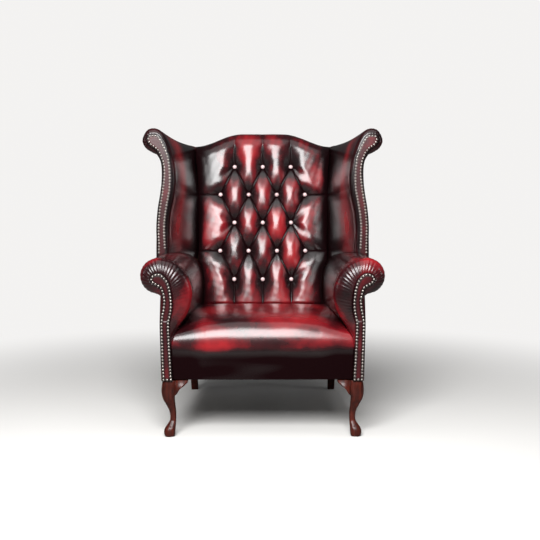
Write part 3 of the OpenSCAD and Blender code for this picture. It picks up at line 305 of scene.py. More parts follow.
class Look:
    """Builds the nodes of a material or of the world."""

    def __init__(self, owner):
        owner.use_nodes = True
        self.owner, self.nodes, self.links = owner, owner.node_tree.nodes, owner.node_tree.links

    def feed(self, node, inputs):
        """Fills a node's sockets with plain values, or with links from other nodes' outputs."""
        for socket, value in inputs.items():
            if isinstance(value, bpy.types.NodeSocket):
                self.links.new(value, node.inputs[socket])
            else:
                node.inputs[socket].default_value = value

    def add(self, kind, inputs=None, output=0, **settings):
        """Adds a node and returns one of its outputs."""
        node = self.nodes.new("ShaderNode" + kind)
        for setting, value in settings.items():
            setattr(node, setting, value)
        self.feed(node, inputs or {})
        return node.outputs[output]

    def surface(self, inputs):
        """Fills the material's own shader and returns the material."""
        self.feed(self.nodes["Principled BSDF"], inputs)
        return self.owner

    def noise(self, place, scale, detail, rough):
        return self.add("TexNoise", {"Vector": place, "Scale": scale, "Detail": detail,
                                     "Roughness": rough}, "Fac")

    def math(self, operation, *values, clamp=False):
        return self.add("Math", dict(enumerate(values)), operation=operation, use_clamp=clamp)

    def share(self, value, low, high, kind="LINEAR"):
        """Runs from 0 at the low value to 1 at the high one."""
        return self.add("MapRange", {"Value": value, "From Min": low, "From Max": high},
                        interpolation_type=kind)

    def ramp(self, share, stops):
        """The colour at a share of the way through the stops."""
        node = self.nodes.new("ShaderNodeValToRGB")
        while len(node.color_ramp.elements) < len(stops):
            node.color_ramp.elements.new(0.5)
        for element, (place, colour) in zip(node.color_ramp.elements, stops):
            element.position = place
            element.color = (*colour, 1)
        self.feed(node, {"Fac": share})
        return node.outputs["Color"]

    def bump(self, height, strength, distance, under=None):
        inputs = {"Height": height, "Strength": strength, "Distance": distance}
        return self.add("Bump", {**inputs, "Normal": under} if under else inputs)


def new_look(name):
    """A new material's nodes, and the place of each point on the piece."""
    look = Look(bpy.data.materials.new(name))
    return look, look.add("TexCoord", output="Object")


def leather_material(name, stops, rough, coat):
    """Antique leather: dark colour rubbed through to red where the attribute is high, and darker
    where it is low, partly as painted shade.
    """
    look, place = new_look(name)
    wear_and_shade = look.add("Attribute", output="Fac", attribute_name="wear_and_shade")
    patches, cloud = look.noise(place, 7, 4, 0.55), look.noise(place, 38, 5, 0.65)
    total = look.math("ADD", wear_and_shade, look.math("MULTIPLY_ADD", patches, 0.9, -0.45))
    mottle = look.math("MULTIPLY_ADD", cloud, 0.35, -0.175)
    total = look.math("ADD", total, mottle, clamp=True)
    # painted shade: where the attribute is low, above all in the folds and round the buttons, the
    # reflection is tinted dark and the coat taken away
    unshaded_gloss = look.share(wear_and_shade, PAINTED_SHADE_WEAR, 0)
    grain = look.add("TexVoronoi", {"Vector": place, "Scale": 520, "Detail": 2, "Roughness": 0.5},
                     "Distance")
    fine = look.math("MULTIPLY_ADD", grain, 0.5, look.noise(place, 900, 3, 0.6))
    creases = look.noise(place, 60, 6, 0.7)
    return look.surface({
        "Base Color": look.ramp(total, stops),
        "Roughness": look.math("MULTIPLY_ADD", creases, 0.1, rough),
        "Specular IOR Level": 0.28,
        "Specular Tint": look.ramp(unshaded_gloss, [(0, (0.1, 0.08, 0.08)), (1, (1, 1, 1))]),
        "Coat Weight": look.math("MULTIPLY", unshaded_gloss, coat),
        "Coat Roughness": 0.24,
        "Normal": look.bump(creases, 0.06, 0.002, under=look.bump(fine, 0.06, 0.0006))})


def wood_material(name, dark, light, rough, coat):
    """Polished wood, with its grain drawn out along the height."""
    look, place = new_look(name)
    stretch = look.add("Mapping", {"Vector": place, "Scale": (1, 1, 0.12)})
    grain = look.add("TexNoise", {"Vector": stretch, "Scale": 108, "Detail": 6, "Distortion": 0.6},
                     "Fac")
    return look.surface({
        "Base Color": look.ramp(grain, [(0.3, dark), (0.7, light)]),
        "Roughness": rough,
        "Specular IOR Level": 0.22,
        "Coat Weight": coat,
        "Coat Roughness": 0.12,
        "Normal": look.bump(grain, 0.06, 0.0006)})


def metal_material(name, dark, light, rough):
    """Metal with a little tarnish."""
    look, place = new_look(name)
    tarnish = look.noise(place, 300, 3, 0.6)
    return look.surface({
        "Base Color": look.ramp(tarnish, [(0.35, dark), (0.65, light)]),
        "Metallic": 1,
        "Roughness": look.math("MULTIPLY_ADD", tarnish, 0.12, rough - 0.06)})


def cloth_material(name, dark, light, pitch):
    """A plain weave of the given thread pitch, in millimetres."""
    look, place = new_look(name)
    # a wave texture has 20 bands to the metre at a scale of 1
    wave = {"Vector": place, "Scale": 1000 / pitch / 20, "Distortion": 0.8}
    weave = look.math("MULTIPLY", look.add("TexWave", wave, "Fac", bands_direction="X"),
                      look.add("TexWave", wave, "Fac", bands_direction="Z"))
    return look.surface({
        "Base Color": look.ramp(weave, [(0.1, dark), (0.8, light)]),
        "Roughness": 0.85,
        "Normal": look.bump(weave, 0.3, 0.0008)})


# Each finish: its kind, then its colours, and its roughness and coat, or its thread pitch
FINISHES = {name: make(name, *looks) for name, make, *looks in (
    ("oxblood_leather", leather_material, [
        (0.08, (0.006, 0.0015, 0.002)), (0.34, (0.03, 0.003, 0.0045)),
        (0.6, (0.15, 0.006, 0.0095)), (0.9, (0.275, 0.0105, 0.014))], 0.2, 0.5),
    ("dark_leather", leather_material, [
        (0.08, (0.006, 0.0015, 0.002)), (0.5, (0.045, 0.0035, 0.0055)),
        (0.9, (0.2, 0.008, 0.012))], 0.3, 0.1),
    # pale pink-white colours on the leather buttons: a painted highlight
    ("button_leather", leather_material, [
        (0.1, (0.4, 0.23, 0.24)), (0.9, (0.68, 0.52, 0.52))], 0.2, 0.8),
    ("mahogany", wood_material, (0.018, 0.003, 0.0018), (0.08, 0.011, 0.0055), 0.34, 0.1),
    ("beech", wood_material, (0.42, 0.27, 0.14), (0.62, 0.44, 0.26), 0.55, 0),
    ("nickel", metal_material, (0.16, 0.14, 0.125), (0.38, 0.35, 0.325), 0.34),
    ("steel", metal_material, (0.28, 0.29, 0.3), (0.56, 0.58, 0.6), 0.38),
    ("sacking", cloth_material, (0.16, 0.1, 0.05), (0.5, 0.38, 0.21), 3),
    ("padding", cloth_material, (0.7, 0.64, 0.46), (0.86, 0.82, 0.66), 6),
    ("black_cloth", cloth_material, (0.008, 0.008, 0.008), (0.03, 0.03, 0.03), 1))}


def finish_cad_nodes():
    slots = {s["node"]: s["material_slot"] for s in frame["record"]["subparts"]}
    for name, obj in frame["nodes"].items():
        finish = FINISHES[slots[name]]
        if not obj.material_slots:
            obj.data.materials.append(finish)
        for slot in obj.material_slots:
            slot.material = finish


# Arms

def arm_t(d):
    return np.clip((d - ARM_BODY_D) / (ARM_OUTER_END - ARM_BODY_D), 0, 1)


def arm_point(share, t):
    share = np.asarray(share, float)
    low = mix(ARM_GAP / 2, ARM_GAP / 2 + LEATHER, t)
    high = mix(ARM_SPAN / 2, ARM_REAR_SPAN / 2, t)
    return np.stack([low + share[..., 0] * (high - low),
                     LEG_H + share[..., 1] * (ARM_TOP - LEG_H)], axis=-1)


def arm_path(front, rear, t, steps):
    return curve(arm_point(mix(front, rear, t), t), steps)


def arm_roll(t, steps=CURVE_STEPS):
    return arm_path(ARM_ROLL, ARM_ROLL_REAR, t, steps)


ARM_TABLE = [arm_roll(t) for t in np.linspace(0, 1, ARM_TABLE_STEPS + 1)]


def arm_stretch(d, first, last=None):
    """The arm's outline at depth d from one of its points to another, the other way round."""
    roll = ARM_TABLE[int(round(float(arm_t(d)) * ARM_TABLE_STEPS))]
    return roll[first * CURVE_STEPS:last and last * CURVE_STEPS + 1][::-1]


def arm_height(x, d):
    """Height of the top of the arm at x and depth d."""
    top = arm_stretch(d, 3, 11)
    return np.interp(x, top[:, 0], top[:, 1])


def arm_inside(z, d):
    """Where the arm's inner side lies at height z and depth d."""
    inner = arm_stretch(d, 7)
    return np.interp(z, inner[:, 1], inner[:, 0])


# Where the seam behind the front border lies, as a share of the run, and its depth
ARM_SEAM_SHARE, ARM_SEAM_DEPTH = 0.03, 3.2


def border_inside(z, d):
    """Where the arm's inner side lies at height z: round the front border, then along the arm."""
    face = curve(arm_point(FACING_ROLL[12:], 0), CURVE_STEPS)
    body = arm_roll(0)[11 * CURVE_STEPS:]
    foot = arm_point([FACING_FOOT, 0], 0)[0]
    face_x, body_x = (np.interp(z, np.append(LEG_H, p[::-1, 1]), np.append(foot, p[::-1, 0]))
                      for p in (face, body))
    turn = math.acos(float(np.clip(1 - (d - ARM_FACE_D) / ARM_ROUND, 0, 1)))
    return min(mix(face_x, body_x, math.sin(turn)), arm_inside(z, d) if d > ARM_BODY_D else HALF_W)


def arm_rows(rows):
    """Shares of the run behind the front border, close together at its front."""
    return np.linspace(0, 1, rows)[1:] ** 1.8


def arm_grid(face_shares, front, rear, ends, steps, turns, rows):
    """From the facing's edge, round the front border and back along the arm."""
    face, body = (curve(arm_point(shares, 0), steps) for shares in (face_shares, front))
    grid = []
    for turn in np.linspace(0, math.pi / 2, turns):
        p = mix(face, body, math.sin(turn))
        d = np.full(len(p), ARM_FACE_D + ARM_ROUND * (1 - math.cos(turn)))
        grid.append(placed(p[:, 0], d, p[:, 1]))
    for share in arm_rows(rows):
        d = mix(ARM_BODY_D, ends, share)
        p = np.array([arm_path(front, rear, arm_t(d[i]), steps)[i] for i in range(len(d))])
        grid.append(placed(p[:, 0], d, p[:, 1]))
    return np.array(grid)


def pleats(grid, turns, rows, pitch, depth, seed, tail=0.12):
    """Gathered folds that leave the facing and die out along the body."""
    along = run_lengths(np.mean([grid[0], grid[turns - 1]], axis=0))
    jitter = noise(along / 40, 0, 0, seed) * pitch * 0.3
    fold = np.abs(np.sin(math.pi * (along + jitter) / pitch)) ** 0.55
    # shares of the depth at the facing, half round the border, and behind the border
    face, middle, body = 0.55, 1, 0.45
    strength = np.concatenate([
        np.linspace(face, middle, turns // 2), np.linspace(middle, body, turns - turns // 2),
        body * np.clip(1 - np.linspace(0, 1, rows)[1:] / tail, 0, 1)])
    return held((fold - 0.6) * depth * strength[:, None], len(grid))


# The rear end of an arm's scroll: shares of the way to its hub, and how far back they stand
SCROLL_END = ((0.03, 2.4), (0.15, 3.6), (0.5, 3.6), (0.96, 3.6))


def scroll_end(grid, i, hub_in=26, hub_z=562, fan=0.2):
    """Draws the arm's leather in over the rear end of its scroll."""
    last, extra = grid[-1], []
    hub = np.array([last[0, 0] - hub_in, 0, hub_z])
    weight = smooth((7.6 - i) / 1.6)
    for k, (share, back) in enumerate(SCROLL_END):
        p = mix(last, hub, share * weight[:, None])
        p[:, 1] = last[:, 1] + back * weight + fan * k
        extra.append(p)
    return np.concatenate([grid, extra])


def make_inside_arm(side, mirror):
    """The arm's pad; i counts the outline's points, from the outer side over the scroll and in."""
    steps, turns, rows = 10, 16, 34
    i = np.arange((len(ARM_ROLL) - 1) * steps + 1) / steps
    inner_ends = seam_depth(arm_roll(0, steps)[:, 1]) + BACK_PAD
    ends = mix(ARM_OUTER_END, inner_ends, smooth((i - 5) / 2))
    grid = scroll_end(arm_grid(FACING_ROLL, ARM_ROLL, ARM_ROLL_REAR, ends, steps, turns, rows), i)
    rise = pleats(grid, turns, rows, pitch=11.5, depth=2.6, seed=3 + mirror)
    rise *= smooth(i / 0.6) * smooth((14.2 - i) / 1.6) * (1 - 0.55 * smooth((i - 8) / 2))
    t = held(np.concatenate([np.zeros(turns), arm_rows(rows)]), len(grid))[:, None]
    seam = hump(t - ARM_SEAM_SHARE, 0.009) * smooth((13 - i) / 1.5)
    rise = rise - ARM_SEAM_DEPTH * seam
    # red shows where the border is fullest, and along the top of the arm
    crown = [smooth(np.linspace(-0.4, 1.2, turns)), hump(arm_rows(rows), ARM_SEAM_SHARE)]
    crown = held(np.concatenate(crown), len(grid))
    inner = smooth((i - 8) / 2) * smooth((14 - i) / 2)
    scroll = smooth((7 - i) / 2)
    edge = 1 - smooth(np.concatenate([np.linspace(-0.4, 1.6, turns), np.ones(len(grid) - turns)]))
    wear_and_shade = worn_and_shaded(
        0.22,
        patches=(0.2, blotches(grid, (60, 130, 70), 11 + mirror)),
        inner_border=(0.45, crown[:, None] * inner),
        scroll_border=(0.55, crown[:, None] * scroll * smooth(i / 4)),
        top=(0.2, smooth((8.5 - i) / 2) * (t > ARM_SEAM_SHARE)),
        facing_edge=(0.06, edge[:, None]),
        pleats=(0.05, rise),
        seam=(-0.25, seam))
    cover = skin(f"{side}_inside_arm_leather", grid, "oxblood_leather",
                 (f"{side}_inside_arm_cover", f"{side}_arm_foam"), rise, wear_and_shade, mirror)


def make_outside_arm(side, mirror):
    steps, turns, rows, bulge = 12, 8, 30, 1.5
    ends = np.full((len(ARM_SIDE) - 1) * steps + 1, float(ARM_OUTER_END))
    grid = arm_grid(FACING_SIDE, ARM_SIDE, ARM_SIDE, ends, steps, turns, rows)
    rise = bulge * np.sin(np.linspace(0, math.pi, len(grid)))[:, None]
    rise[:turns] = 0
    skin(f"{side}_outside_arm_leather", grid, "dark_leather",
         (f"{side}_outside_arm_cover",), rise, plain_wear(grid, 0.35, 0.25, 21), mirror)


def line_distance(points, outline):
    """How far each point lies from a closed outline, and whether it lies inside."""
    a, b = outline, np.roll(outline, -1, axis=0)
    side = b - a
    rel = points[:, None, :] - a[None]
    t = np.clip((rel * side).sum(axis=2) / (side ** 2).sum(axis=1), 0, 1)
    far = np.linalg.norm(rel - t[..., None] * side, axis=2).min(axis=1)
    x, y = points[:, 0][:, None], points[:, 1][:, None]
    crossing = (a[:, 1] > y) != (b[:, 1] > y)
    rise = np.where(side[:, 1] == 0, 1, side[:, 1])
    hits = crossing & (x < a[:, 0] + (y - a[:, 1]) / rise * side[:, 0])
    return far, hits.sum(axis=1) % 2 == 1


# A facing's rounded rim: how far in from its outline, and how far behind its face
FACING_RIM = ((0, FACING_T), (0, 2.2), (0.5, 1.0), (1.6, 0.3), (3.0, 0.0))
# Heights of the rows of points that draw a cross seam
SEAM_ROWS = (-5, -3, -1.5, 0, 1.5, 3, 5)


def inward_of(outline):
    """At each point of a closed outline, the direction square to it that leads inside."""
    along = np.roll(outline, -1, axis=0) - np.roll(outline, 1, axis=0)
    inward = unit(np.stack([-along[:, 1], along[:, 0]], axis=1))
    return inward if line_distance((outline + inward)[:1], outline)[1][0] else -inward


def panel_mesh(rim, seam_z, step):
    """Points and triangles that fill the rim, and each point's distance from it."""
    low, high = rim.min(axis=0), rim.max(axis=0)
    levels = list(np.arange(low[1], high[1], step))
    if seam_z is not None:
        levels = [z for z in levels if abs(z - seam_z) > 6] + [seam_z + k for k in SEAM_ROWS]
    spots = np.array([(x + (k % 2) * step / 2, z) for k, z in enumerate(levels)
                      for x in np.arange(low[0], high[0], step)])
    far, inside = line_distance(spots, rim)
    flat = [Vector(p) for p in np.concatenate([rim, spots[inside & (far > 1.6)]])]
    points, _, triangles = delaunay_2d_cdt(flat, [], [list(range(len(rim)))], 1, 1e-4)[:3]
    points = np.array([tuple(p) for p in points])
    return points, triangles, line_distance(points, rim)[0]


def facing_panel(name, outline, depth_of, replaces, mirror, seam_z=None, bulge=1.5, step=3.5):
    """A slim stuffed panel: its rim is rounded over and its middle stands a little proud."""
    def laid(p, back):
        return placed(p[:, 0], depth_of(p[:, 1]) + back, p[:, 1])

    inward, count = inward_of(outline), len(outline)
    vertices = [v for inset, back in FACING_RIM for v in laid(outline + inward * inset, back)]
    faces = grid_faces(len(FACING_RIM), count, closed=True) + [tuple(range(count))]
    wear_and_shade = [0.05] * len(vertices)
    points, triangles, far = panel_mesh(outline + inward * FACING_RIM[-1][0], seam_z, step)
    lift = bulge * smooth(far / 11)
    if seam_z is not None:
        near = points[:, 1] - seam_z
        # a raised fold lies just below the seam's crease
        lift = lift + smooth(far / 3) * (2.2 * hump(near + 2.5, 2.6) - 2 * hump(near - 2, 1.5))
    faces += [tuple(len(vertices) + k for k in t) for t in triangles]
    vertices += list(laid(points, -lift))
    wear_and_shade += list(worn_and_shaded(0.02,
                      middle=(0.46, smooth((far - 4.5) / 6)),
                      patches=(0.14, noise(points[:, 0] / 40, points[:, 1] / 60, 0, 5))))
    piece(name, vertices, faces, "dark_leather", replaces, np.array(wear_and_shade), mirror, merge=0.01)


def make_arm_facing(side, mirror):
    roll, edge = (curve(arm_point(p, 0), CURVE_STEPS) for p in (FACING_ROLL, FACING_SIDE))
    outline = np.concatenate([roll[::-1], edge[::-1][1:], [arm_point([FACING_FOOT, 0], 0)]])
    facing_panel(f"{side}_arm_facing_leather", outline, lambda z: NAIL_H + 0 * z,
                 (f"{side}_arm_facing",), mirror, seam_z=FACING_SEAM_Z)


# Wings

def wing_place(share, d):
    share = np.asarray(share, float)
    x = share[..., 0] * HALF_W
    z0 = arm_height(x, d) + WING_LIFT
    return np.stack([x, mix(z0, WING_TOP, share[..., 1])], axis=-1)


def wing_front(d0, p):
    """Places the wing's outline, which leans back from depth d0 at the arm's top."""
    return placed(p[:, 0], d0 + (p[:, 1] - ARM_TOP) * math.tan(WING_LEAN), p[:, 1])


def seam_depth(z):
    """The depth of the inside back's seams."""
    return SEAM_D + (z - SEAT_LINE) * math.tan(BACK_RAKE)


def back_depth(z):
    """The depth of the back posts' rear faces."""
    return BACK_FOOT_D + (z - LEG_H) * math.tan(BACK_LEAN)


def wing_rear(shares, depths):
    out = []
    for share, depth_share in zip(shares, depths):
        z = mix(ARM_TOP, WING_TOP, share[1])
        d = mix(seam_depth(z) + WING_SEAM, back_depth(z) - GAP, depth_share)
        p = wing_place(share, d)
        out.append([p[0], FRONT_Y + d, p[1]])
    return np.array(out)


def wing_grid(face_shares, body_shares, rear_shares, depths, steps, turns, rows, top_sag):
    face, body = (curve(wing_place(p, WING_SET), steps) for p in (face_shares, body_shares))
    rear = curve(wing_rear(rear_shares, depths), steps)
    grid = [wing_front(WING_FACE_D + WING_ROUND * (1 - math.cos(turn)),
                       mix(face, body, math.sin(turn)))
            for turn in np.linspace(0, math.pi / 2, turns)]
    start = wing_front(WING_FACE_D + WING_ROUND, body)
    for t in np.linspace(0, 1, rows)[1:]:
        p = mix(start, rear, t)
        p[:, 2] -= top_sag * math.sin(math.pi * t)
        for q in p:
            # the lowest points settle on the arm
            floor_z = arm_height(q[0], q[1] - FRONT_Y) + WING_LIFT
            up = q[2] - floor_z
            if up < SETTLE_H:
                q[2] = floor_z + up * smooth(up / SETTLE_H)
        grid.append(p)
    return np.array(grid)


def wing_tuck(grid, i, reach=16, out=1.6, back=20, lap=3, drop=58, under=14):
    """Runs the inside leather on: in beside the back, and over and down the wing's rear end.

    Within reach of the back's seam it turns in and back, and keeps under the shoulder. The rest
    laps over the wing's rear end and drops behind it.
    """
    last = grid[-1]
    beside = last[:, 0] < SEAM_W + reach
    x = np.where(beside, seam_x(np.minimum(last[:, 2], SHOULDER_H)) + out, last[:, 0] - lap)
    end = np.stack([x, last[:, 1] + back * beside, last[:, 2]], axis=1)
    low = mix(last[:, 2] - drop, np.minimum(last[:, 2], SHOULDER_H - under), smooth((i - 5) / 1.5))
    rear = placed(x, back_depth(low) - GAP, low)
    rear = mix(rear, end + [0, 1, 0], smooth(i - 8)[:, None])
    steps = [mix(p, q, share) for p, q in ((last, end), (end, rear)) for share in (0.33, 0.67, 1)]
    return np.concatenate([grid, steps])


def make_inside_wing(side, mirror):
    """The wing's pad; i counts the outline's points, from the outer side over the scroll and in."""
    steps, turns, rows, belly_rise = 10, 14, 26, 5
    i = np.arange((len(WING_ROLL) - 1) * steps + 1) / steps
    # the top edge sweeps down to the back a little below a straight line
    sag = 9 * smooth((i - 3) / 1.5) * smooth((8 - i) / 2)
    grid = wing_grid(WING_FACING_ROLL, WING_ROLL, WING_REAR_ROLL, WING_REAR_DEPTH,
                     steps, turns, rows, sag)
    grid = wing_tuck(grid, i)
    rise = pleats(grid, turns, rows, pitch=10.5, depth=2, tail=0.1, seed=7 + mirror)
    rise *= 0.08 + 0.92 * smooth((6 - i) / 1.5) * smooth(i / 0.6)
    t = held(np.concatenate([np.zeros(turns), np.linspace(0, 1, rows)[1:]]), len(grid))[:, None]
    belly = smooth((i - 8) / 2) * smooth((15.2 - i) / 2) * np.sin(math.pi * t)
    rise = rise + belly_rise * belly
    # a red streak runs down the wing behind its border, and the leather darkens to the back
    edge = np.concatenate([np.linspace(0.22, 0.05, turns), np.zeros(len(grid) - turns)])
    wear_and_shade = worn_and_shaded(
        0.3,
        patches=(0.16, blotches(grid, (50, 60, 170), 31 + mirror)),
        streak=(0.5, hump(t - 0.24, 0.13) * smooth((i - 5) / 2) * smooth((16 - i) / 4)),
        rear=(-0.34, smooth((t - 0.42) / 0.4) * smooth((i - 6) / 3)),
        border=(-1, edge[:, None]))
    cover = skin(f"{side}_inside_wing_leather", grid, "oxblood_leather",
                 (f"{side}_inside_wing_cover", f"{side}_wing_foam"), rise, wear_and_shade, mirror)


def make_outside_wing(side, mirror):
    grid = wing_grid(WING_FACING_SIDE, WING_SIDE, WING_REAR_SIDE, np.ones(len(WING_SIDE)),
                     steps=10, turns=8, rows=22, top_sag=0)
    skin(f"{side}_outside_wing_leather", grid, "dark_leather",
         (f"{side}_outside_wing_cover",), 0, plain_wear(grid, 0.36, 0.25, 41), mirror)


def make_wing_facing(side, mirror):
    roll, edge = (curve(wing_place(p, WING_SET), CURVE_STEPS)
                  for p in (WING_FACING_ROLL, WING_FACING_SIDE))
    outline = np.concatenate([edge, roll[1:]])
    facing_panel(f"{side}_wing_facing_leather", outline,
                 lambda z: WING_SET + (z - ARM_TOP) * math.tan(WING_LEAN),
                 (f"{side}_wing_facing",), mirror)


# Buttoned back

ARM_HEIGHTS = np.linspace(BACK_BOTTOM, ARM_TOP - BOARD, 30)
ARM_AT_SEAM = np.array([arm_inside(z, seam_depth(z)) for z in ARM_HEIGHTS])


def crest(x):
    run = BACK_W / 2 * CREST_RUN_SHARE
    return SHOULDER_H + (CHAIR_H - SHOULDER_H) * smooth((run - np.abs(x)) / (run - CREST_W / 2))


def seam_x(z):
    share = np.interp((z - BACK_BOTTOM) / (SHOULDER_H - BACK_BOTTOM), SEAM_HEIGHTS, SEAM_WIDTHS)
    low = np.interp(z, ARM_HEIGHTS, ARM_AT_SEAM) - SEAT_SIDE_GAP
    return np.where(z < ARM_TOP, np.minimum(SEAM_W * share, low), SEAM_W * share)


def off_even(v):
    """How far a number is from the nearest even one."""
    return np.abs(v - 2 * np.round(v / 2))


def sine(share):
    return np.sin(math.pi / 2 * share)


def valley(a, width=0.11):
    """A fold's sharp crease: 0 in it and 1 past its lips."""
    return 1 - np.exp(-np.abs(a) / width)


def either(a, b):
    """A rounded maximum of two shares."""
    p, q = a ** 4, b ** 4
    return ((p + q) / (1 + p * q)) ** 0.25


def swell(a, b, tall):
    """The leather's swell, at two shares of the way from its folds."""
    return 0.42 * tall + 0.46 * sine(a) * sine(b) + 0.12 * valley(np.minimum(a, b)) * tall


def pillow(a, b):
    return swell(a, b, sine(either(a, b)))


def tuft_and_fold(x, z):
    """The tufted leather's rise, and how far the nearest fold is: 0 in it and 1 well away.

    Diamonds lie between the buttons, with channels above and below them.
    """
    p, q = np.abs(x) / HALF_PITCH, (z - FIRST_ROW) / ROW_PITCH
    inside_q = np.clip(q, 0, ROWS - 1)
    band = off_even(inside_q + 1)
    reach = np.clip(p - (ROW_END - band), 0, 1)
    past = np.maximum(0, np.maximum(q - (ROWS - 1), -q))
    a, b = off_even(p + inside_q), off_even(p - inside_q)
    lip = np.minimum(np.minimum(1, 2 * band), either(reach, np.minimum(1, 2 * (1 - band))))
    side = swell(reach, lip, sine(either(reach, 1 - np.abs(2 * band - 1))))
    channel, beyond = np.minimum(1, off_even(p)), p > ROW_END
    channels = np.where(beyond, 1, pillow(channel, channel))
    shallow = np.where(beyond, 0.93, 0.93 - 0.3 * (1 - valley(channel, 0.16)))
    channels = mix(channels, shallow, smooth(past / 1.3))
    rise = np.where(past > 0, channels, np.where(reach > 0, side, pillow(a, b)))
    fold = np.where(past > 0, np.where(beyond, 1, channel + 0.5 * np.clip(past - 0.7, 0, 1)),
                    np.where(reach > 0, np.minimum(reach, lip), np.minimum(a, b)))
    return rise, fold


def back_rise(x, z):
    """How far the leather stands in front of the back's seams; it flattens towards the seat."""
    u = np.abs(x) / seam_x(z)
    tuck = smooth((z - BACK_BOTTOM) / (0.25 * ROW_PITCH))
    draw = 1 - u ** 12
    high = TUFT_DEPTH * tuft_and_fold(x, z)[0]
    return (BACK_CROWN * (1 - u ** 3) + high * draw) * mix(0.15, 1, tuck)


def button_places():
    """Across and up, for each of the back's buttons."""
    for row in range(ROWS):
        count = 3 + row % 2
        for k in range(count):
            yield (k - (count - 1) / 2) * BUTTON_PITCH, FIRST_ROW + row * ROW_PITCH


def button_dye_and_shade(x, z, radius):
    """1 at a button and 0 well away from one; it reaches further up and down than across. It
    darkens the leather round the buttons: dark dye, and painted shade.
    """
    halo = np.zeros(np.broadcast(x, z).shape)
    for bx, bz in button_places():
        halo = np.maximum(halo, hump(x - bx, radius) * hump(z - bz, radius * 1.5))
    return halo


def button_wrinkles(x, z):
    """Short folds that fan out from each button."""
    fold = np.zeros(np.broadcast(x, z).shape)
    for k, (bx, bz) in enumerate(button_places()):
        across, up = x - bx, (z - bz) * 0.8
        far = np.hypot(across, up)
        angle = np.arctan2(up, across)
        ripple = np.sin(13 * angle + k) * 0.6 + np.sin(8 * angle + 2.3 * k) * 0.4
        fold += ripple * hump(far - 19, 9)
    return fold


def back_grid(columns=260, rows=280, neck=26, roll=30):
    """The inside back from its foot up and over the top roll, and how high its tufts are."""
    u = np.linspace(1, -1, columns + 1)
    start = math.atan(math.tan(BACK_RAKE) * 0.77)
    grid, high = [], []

    def add(x, z, depth, level):
        grid.append(placed(x, depth, level))
        high.append(tuft_and_fold(x, z)[0] * (1 - np.abs(u) ** 12))

    for height in np.linspace(BACK_BOTTOM, LAST_ROW, rows):
        z = np.full(u.shape, height)
        x = u * seam_x(z)
        add(x, z, seam_depth(z) - back_rise(x, z), z)
    for share in np.linspace(0, 1, neck)[1:]:
        x = u * mix(seam_x(np.array(LAST_ROW)), SEAM_W, share)
        z = mix(LAST_ROW, crest(x) - TOP_ROLL * (1 - math.sin(start)), share)
        add(x, z, seam_depth(z) - back_rise(x, z), z)
    lowest, rear = seam_depth(z) - back_rise(x, z), back_depth(crest(x)) - GAP
    part = (1 - math.cos(start)) / 2
    front = (lowest - rear * part) / (1 - part)
    for turn in np.linspace(start, math.radians(155), roll)[1:]:
        add(x, z, mix(front, rear, (1 - math.cos(turn)) / 2),
            crest(x) - TOP_ROLL * (1 - math.sin(turn)))
    return turn_in(np.array(grid)), widened(np.array(high))


def make_back():
    grid, high = back_grid()
    x, z = grid[..., 0], grid[..., 2]
    inside = (np.abs(x) < SEAM_W * 0.9) & (z < LAST_ROW + ROW_PITCH)
    fold = tuft_and_fold(x, z)[1]
    crease = hump(fold, 0.055) * (z < LAST_ROW + 0.8 * ROW_PITCH)
    rise = 0.45 * button_wrinkles(x, z) * inside + 0.5 * noise(x / 30, z / 34, 0, 52) * high
    rise -= 1.6 * crease
    wear_and_shade = worn_and_shaded(
        0.12,
        pillows=(0.5, high),
        patches=(0.36, noise(x / 75, z / 60, 0, 53) * high),
        # painted shade, with dark dye, round each button
        buttons=(-0.72, button_dye_and_shade(x, z, 21)),
        # painted shade in the creases of the folds
        folds=(-0.75, crease),
        # a painted highlight: redder along the top roll, where it catches the light from above
        top=(0.05, smooth((z - crest(x) + TOP_ROLL) / 40)),
        seams=(-0.5, 1 - smooth((SEAM_W * 0.955 - np.abs(x)) / 30)),
        # painted shade: the side pillows darker, where they turn from the light
        sides=(-0.16, smooth((np.abs(x) - 175) / 40)))
    cover = skin("buttoned_back_leather", grid, "oxblood_leather",
                 ("inside_back_cover", "back_foam"), rise, wear_and_shade)


def islands(obj):
    """The vertices of each separate solid in a mesh."""
    places = np.array([vertex.co for vertex in obj.data.vertices])
    # vertices that share a place belong together, and so do the ends of an edge
    shared = np.unique(places.round(5), axis=0, return_inverse=True)[1].ravel()
    ends = shared[np.array([edge.vertices[:] for edge in obj.data.edges])]
    group, before = np.arange(len(places)), None
    while before is None or (group != before).any():
        before, lowest = group.copy(), group[ends].min(axis=1)
        for end in ends.T:
            np.minimum.at(group, end, lowest)
    return [places[group[shared] == k] / MM for k in np.unique(group[shared])]


def domes(name, node, axis, profile, slot, sides=18):
    """Turned caps at the places of a node's solids: profile is radius and height, as shares."""
    axis = Vector(axis).normalized()
    across = axis.orthogonal().normalized()
    axis, across, up = (np.array(v) for v in (axis, across, axis.cross(across)))
    vertices, faces = [], []
    for solid in islands(frame["nodes"][node]):
        along = solid @ axis
        base = along.min()
        height = along.max() - base
        low = solid[along < base + 0.2 * height]
        middle = (low.max(axis=0) + low.min(axis=0)) / 2
        middle = middle + axis * (base - middle @ axis)
        radius = np.linalg.norm(low - middle, axis=1).max()
        faces += tube_faces(len(profile), sides, len(vertices))
        for r, h in profile:
            for angle in 2 * math.pi * np.arange(sides) / sides:
                out = math.cos(angle) * across + math.sin(angle) * up
                vertices.append(middle + radius * r * out + height * h * axis)
    piece(name, vertices, faces, slot, (node,), np.full(len(vertices), 0.6))


DOME = [(math.cos(a), math.sin(a)) for a in np.linspace(0, math.pi / 2 * 0.93, 7)]
BUTTON = [(0.93, 0), (1, 0.16), (0.97, 0.42), (0.86, 0.68), (0.66, 0.86), (0.4, 0.97), (0.12, 1)]


def forward(lean):
    """The direction that a face looks in when it leans back."""
    return 0, -math.cos(lean), math.sin(lean)


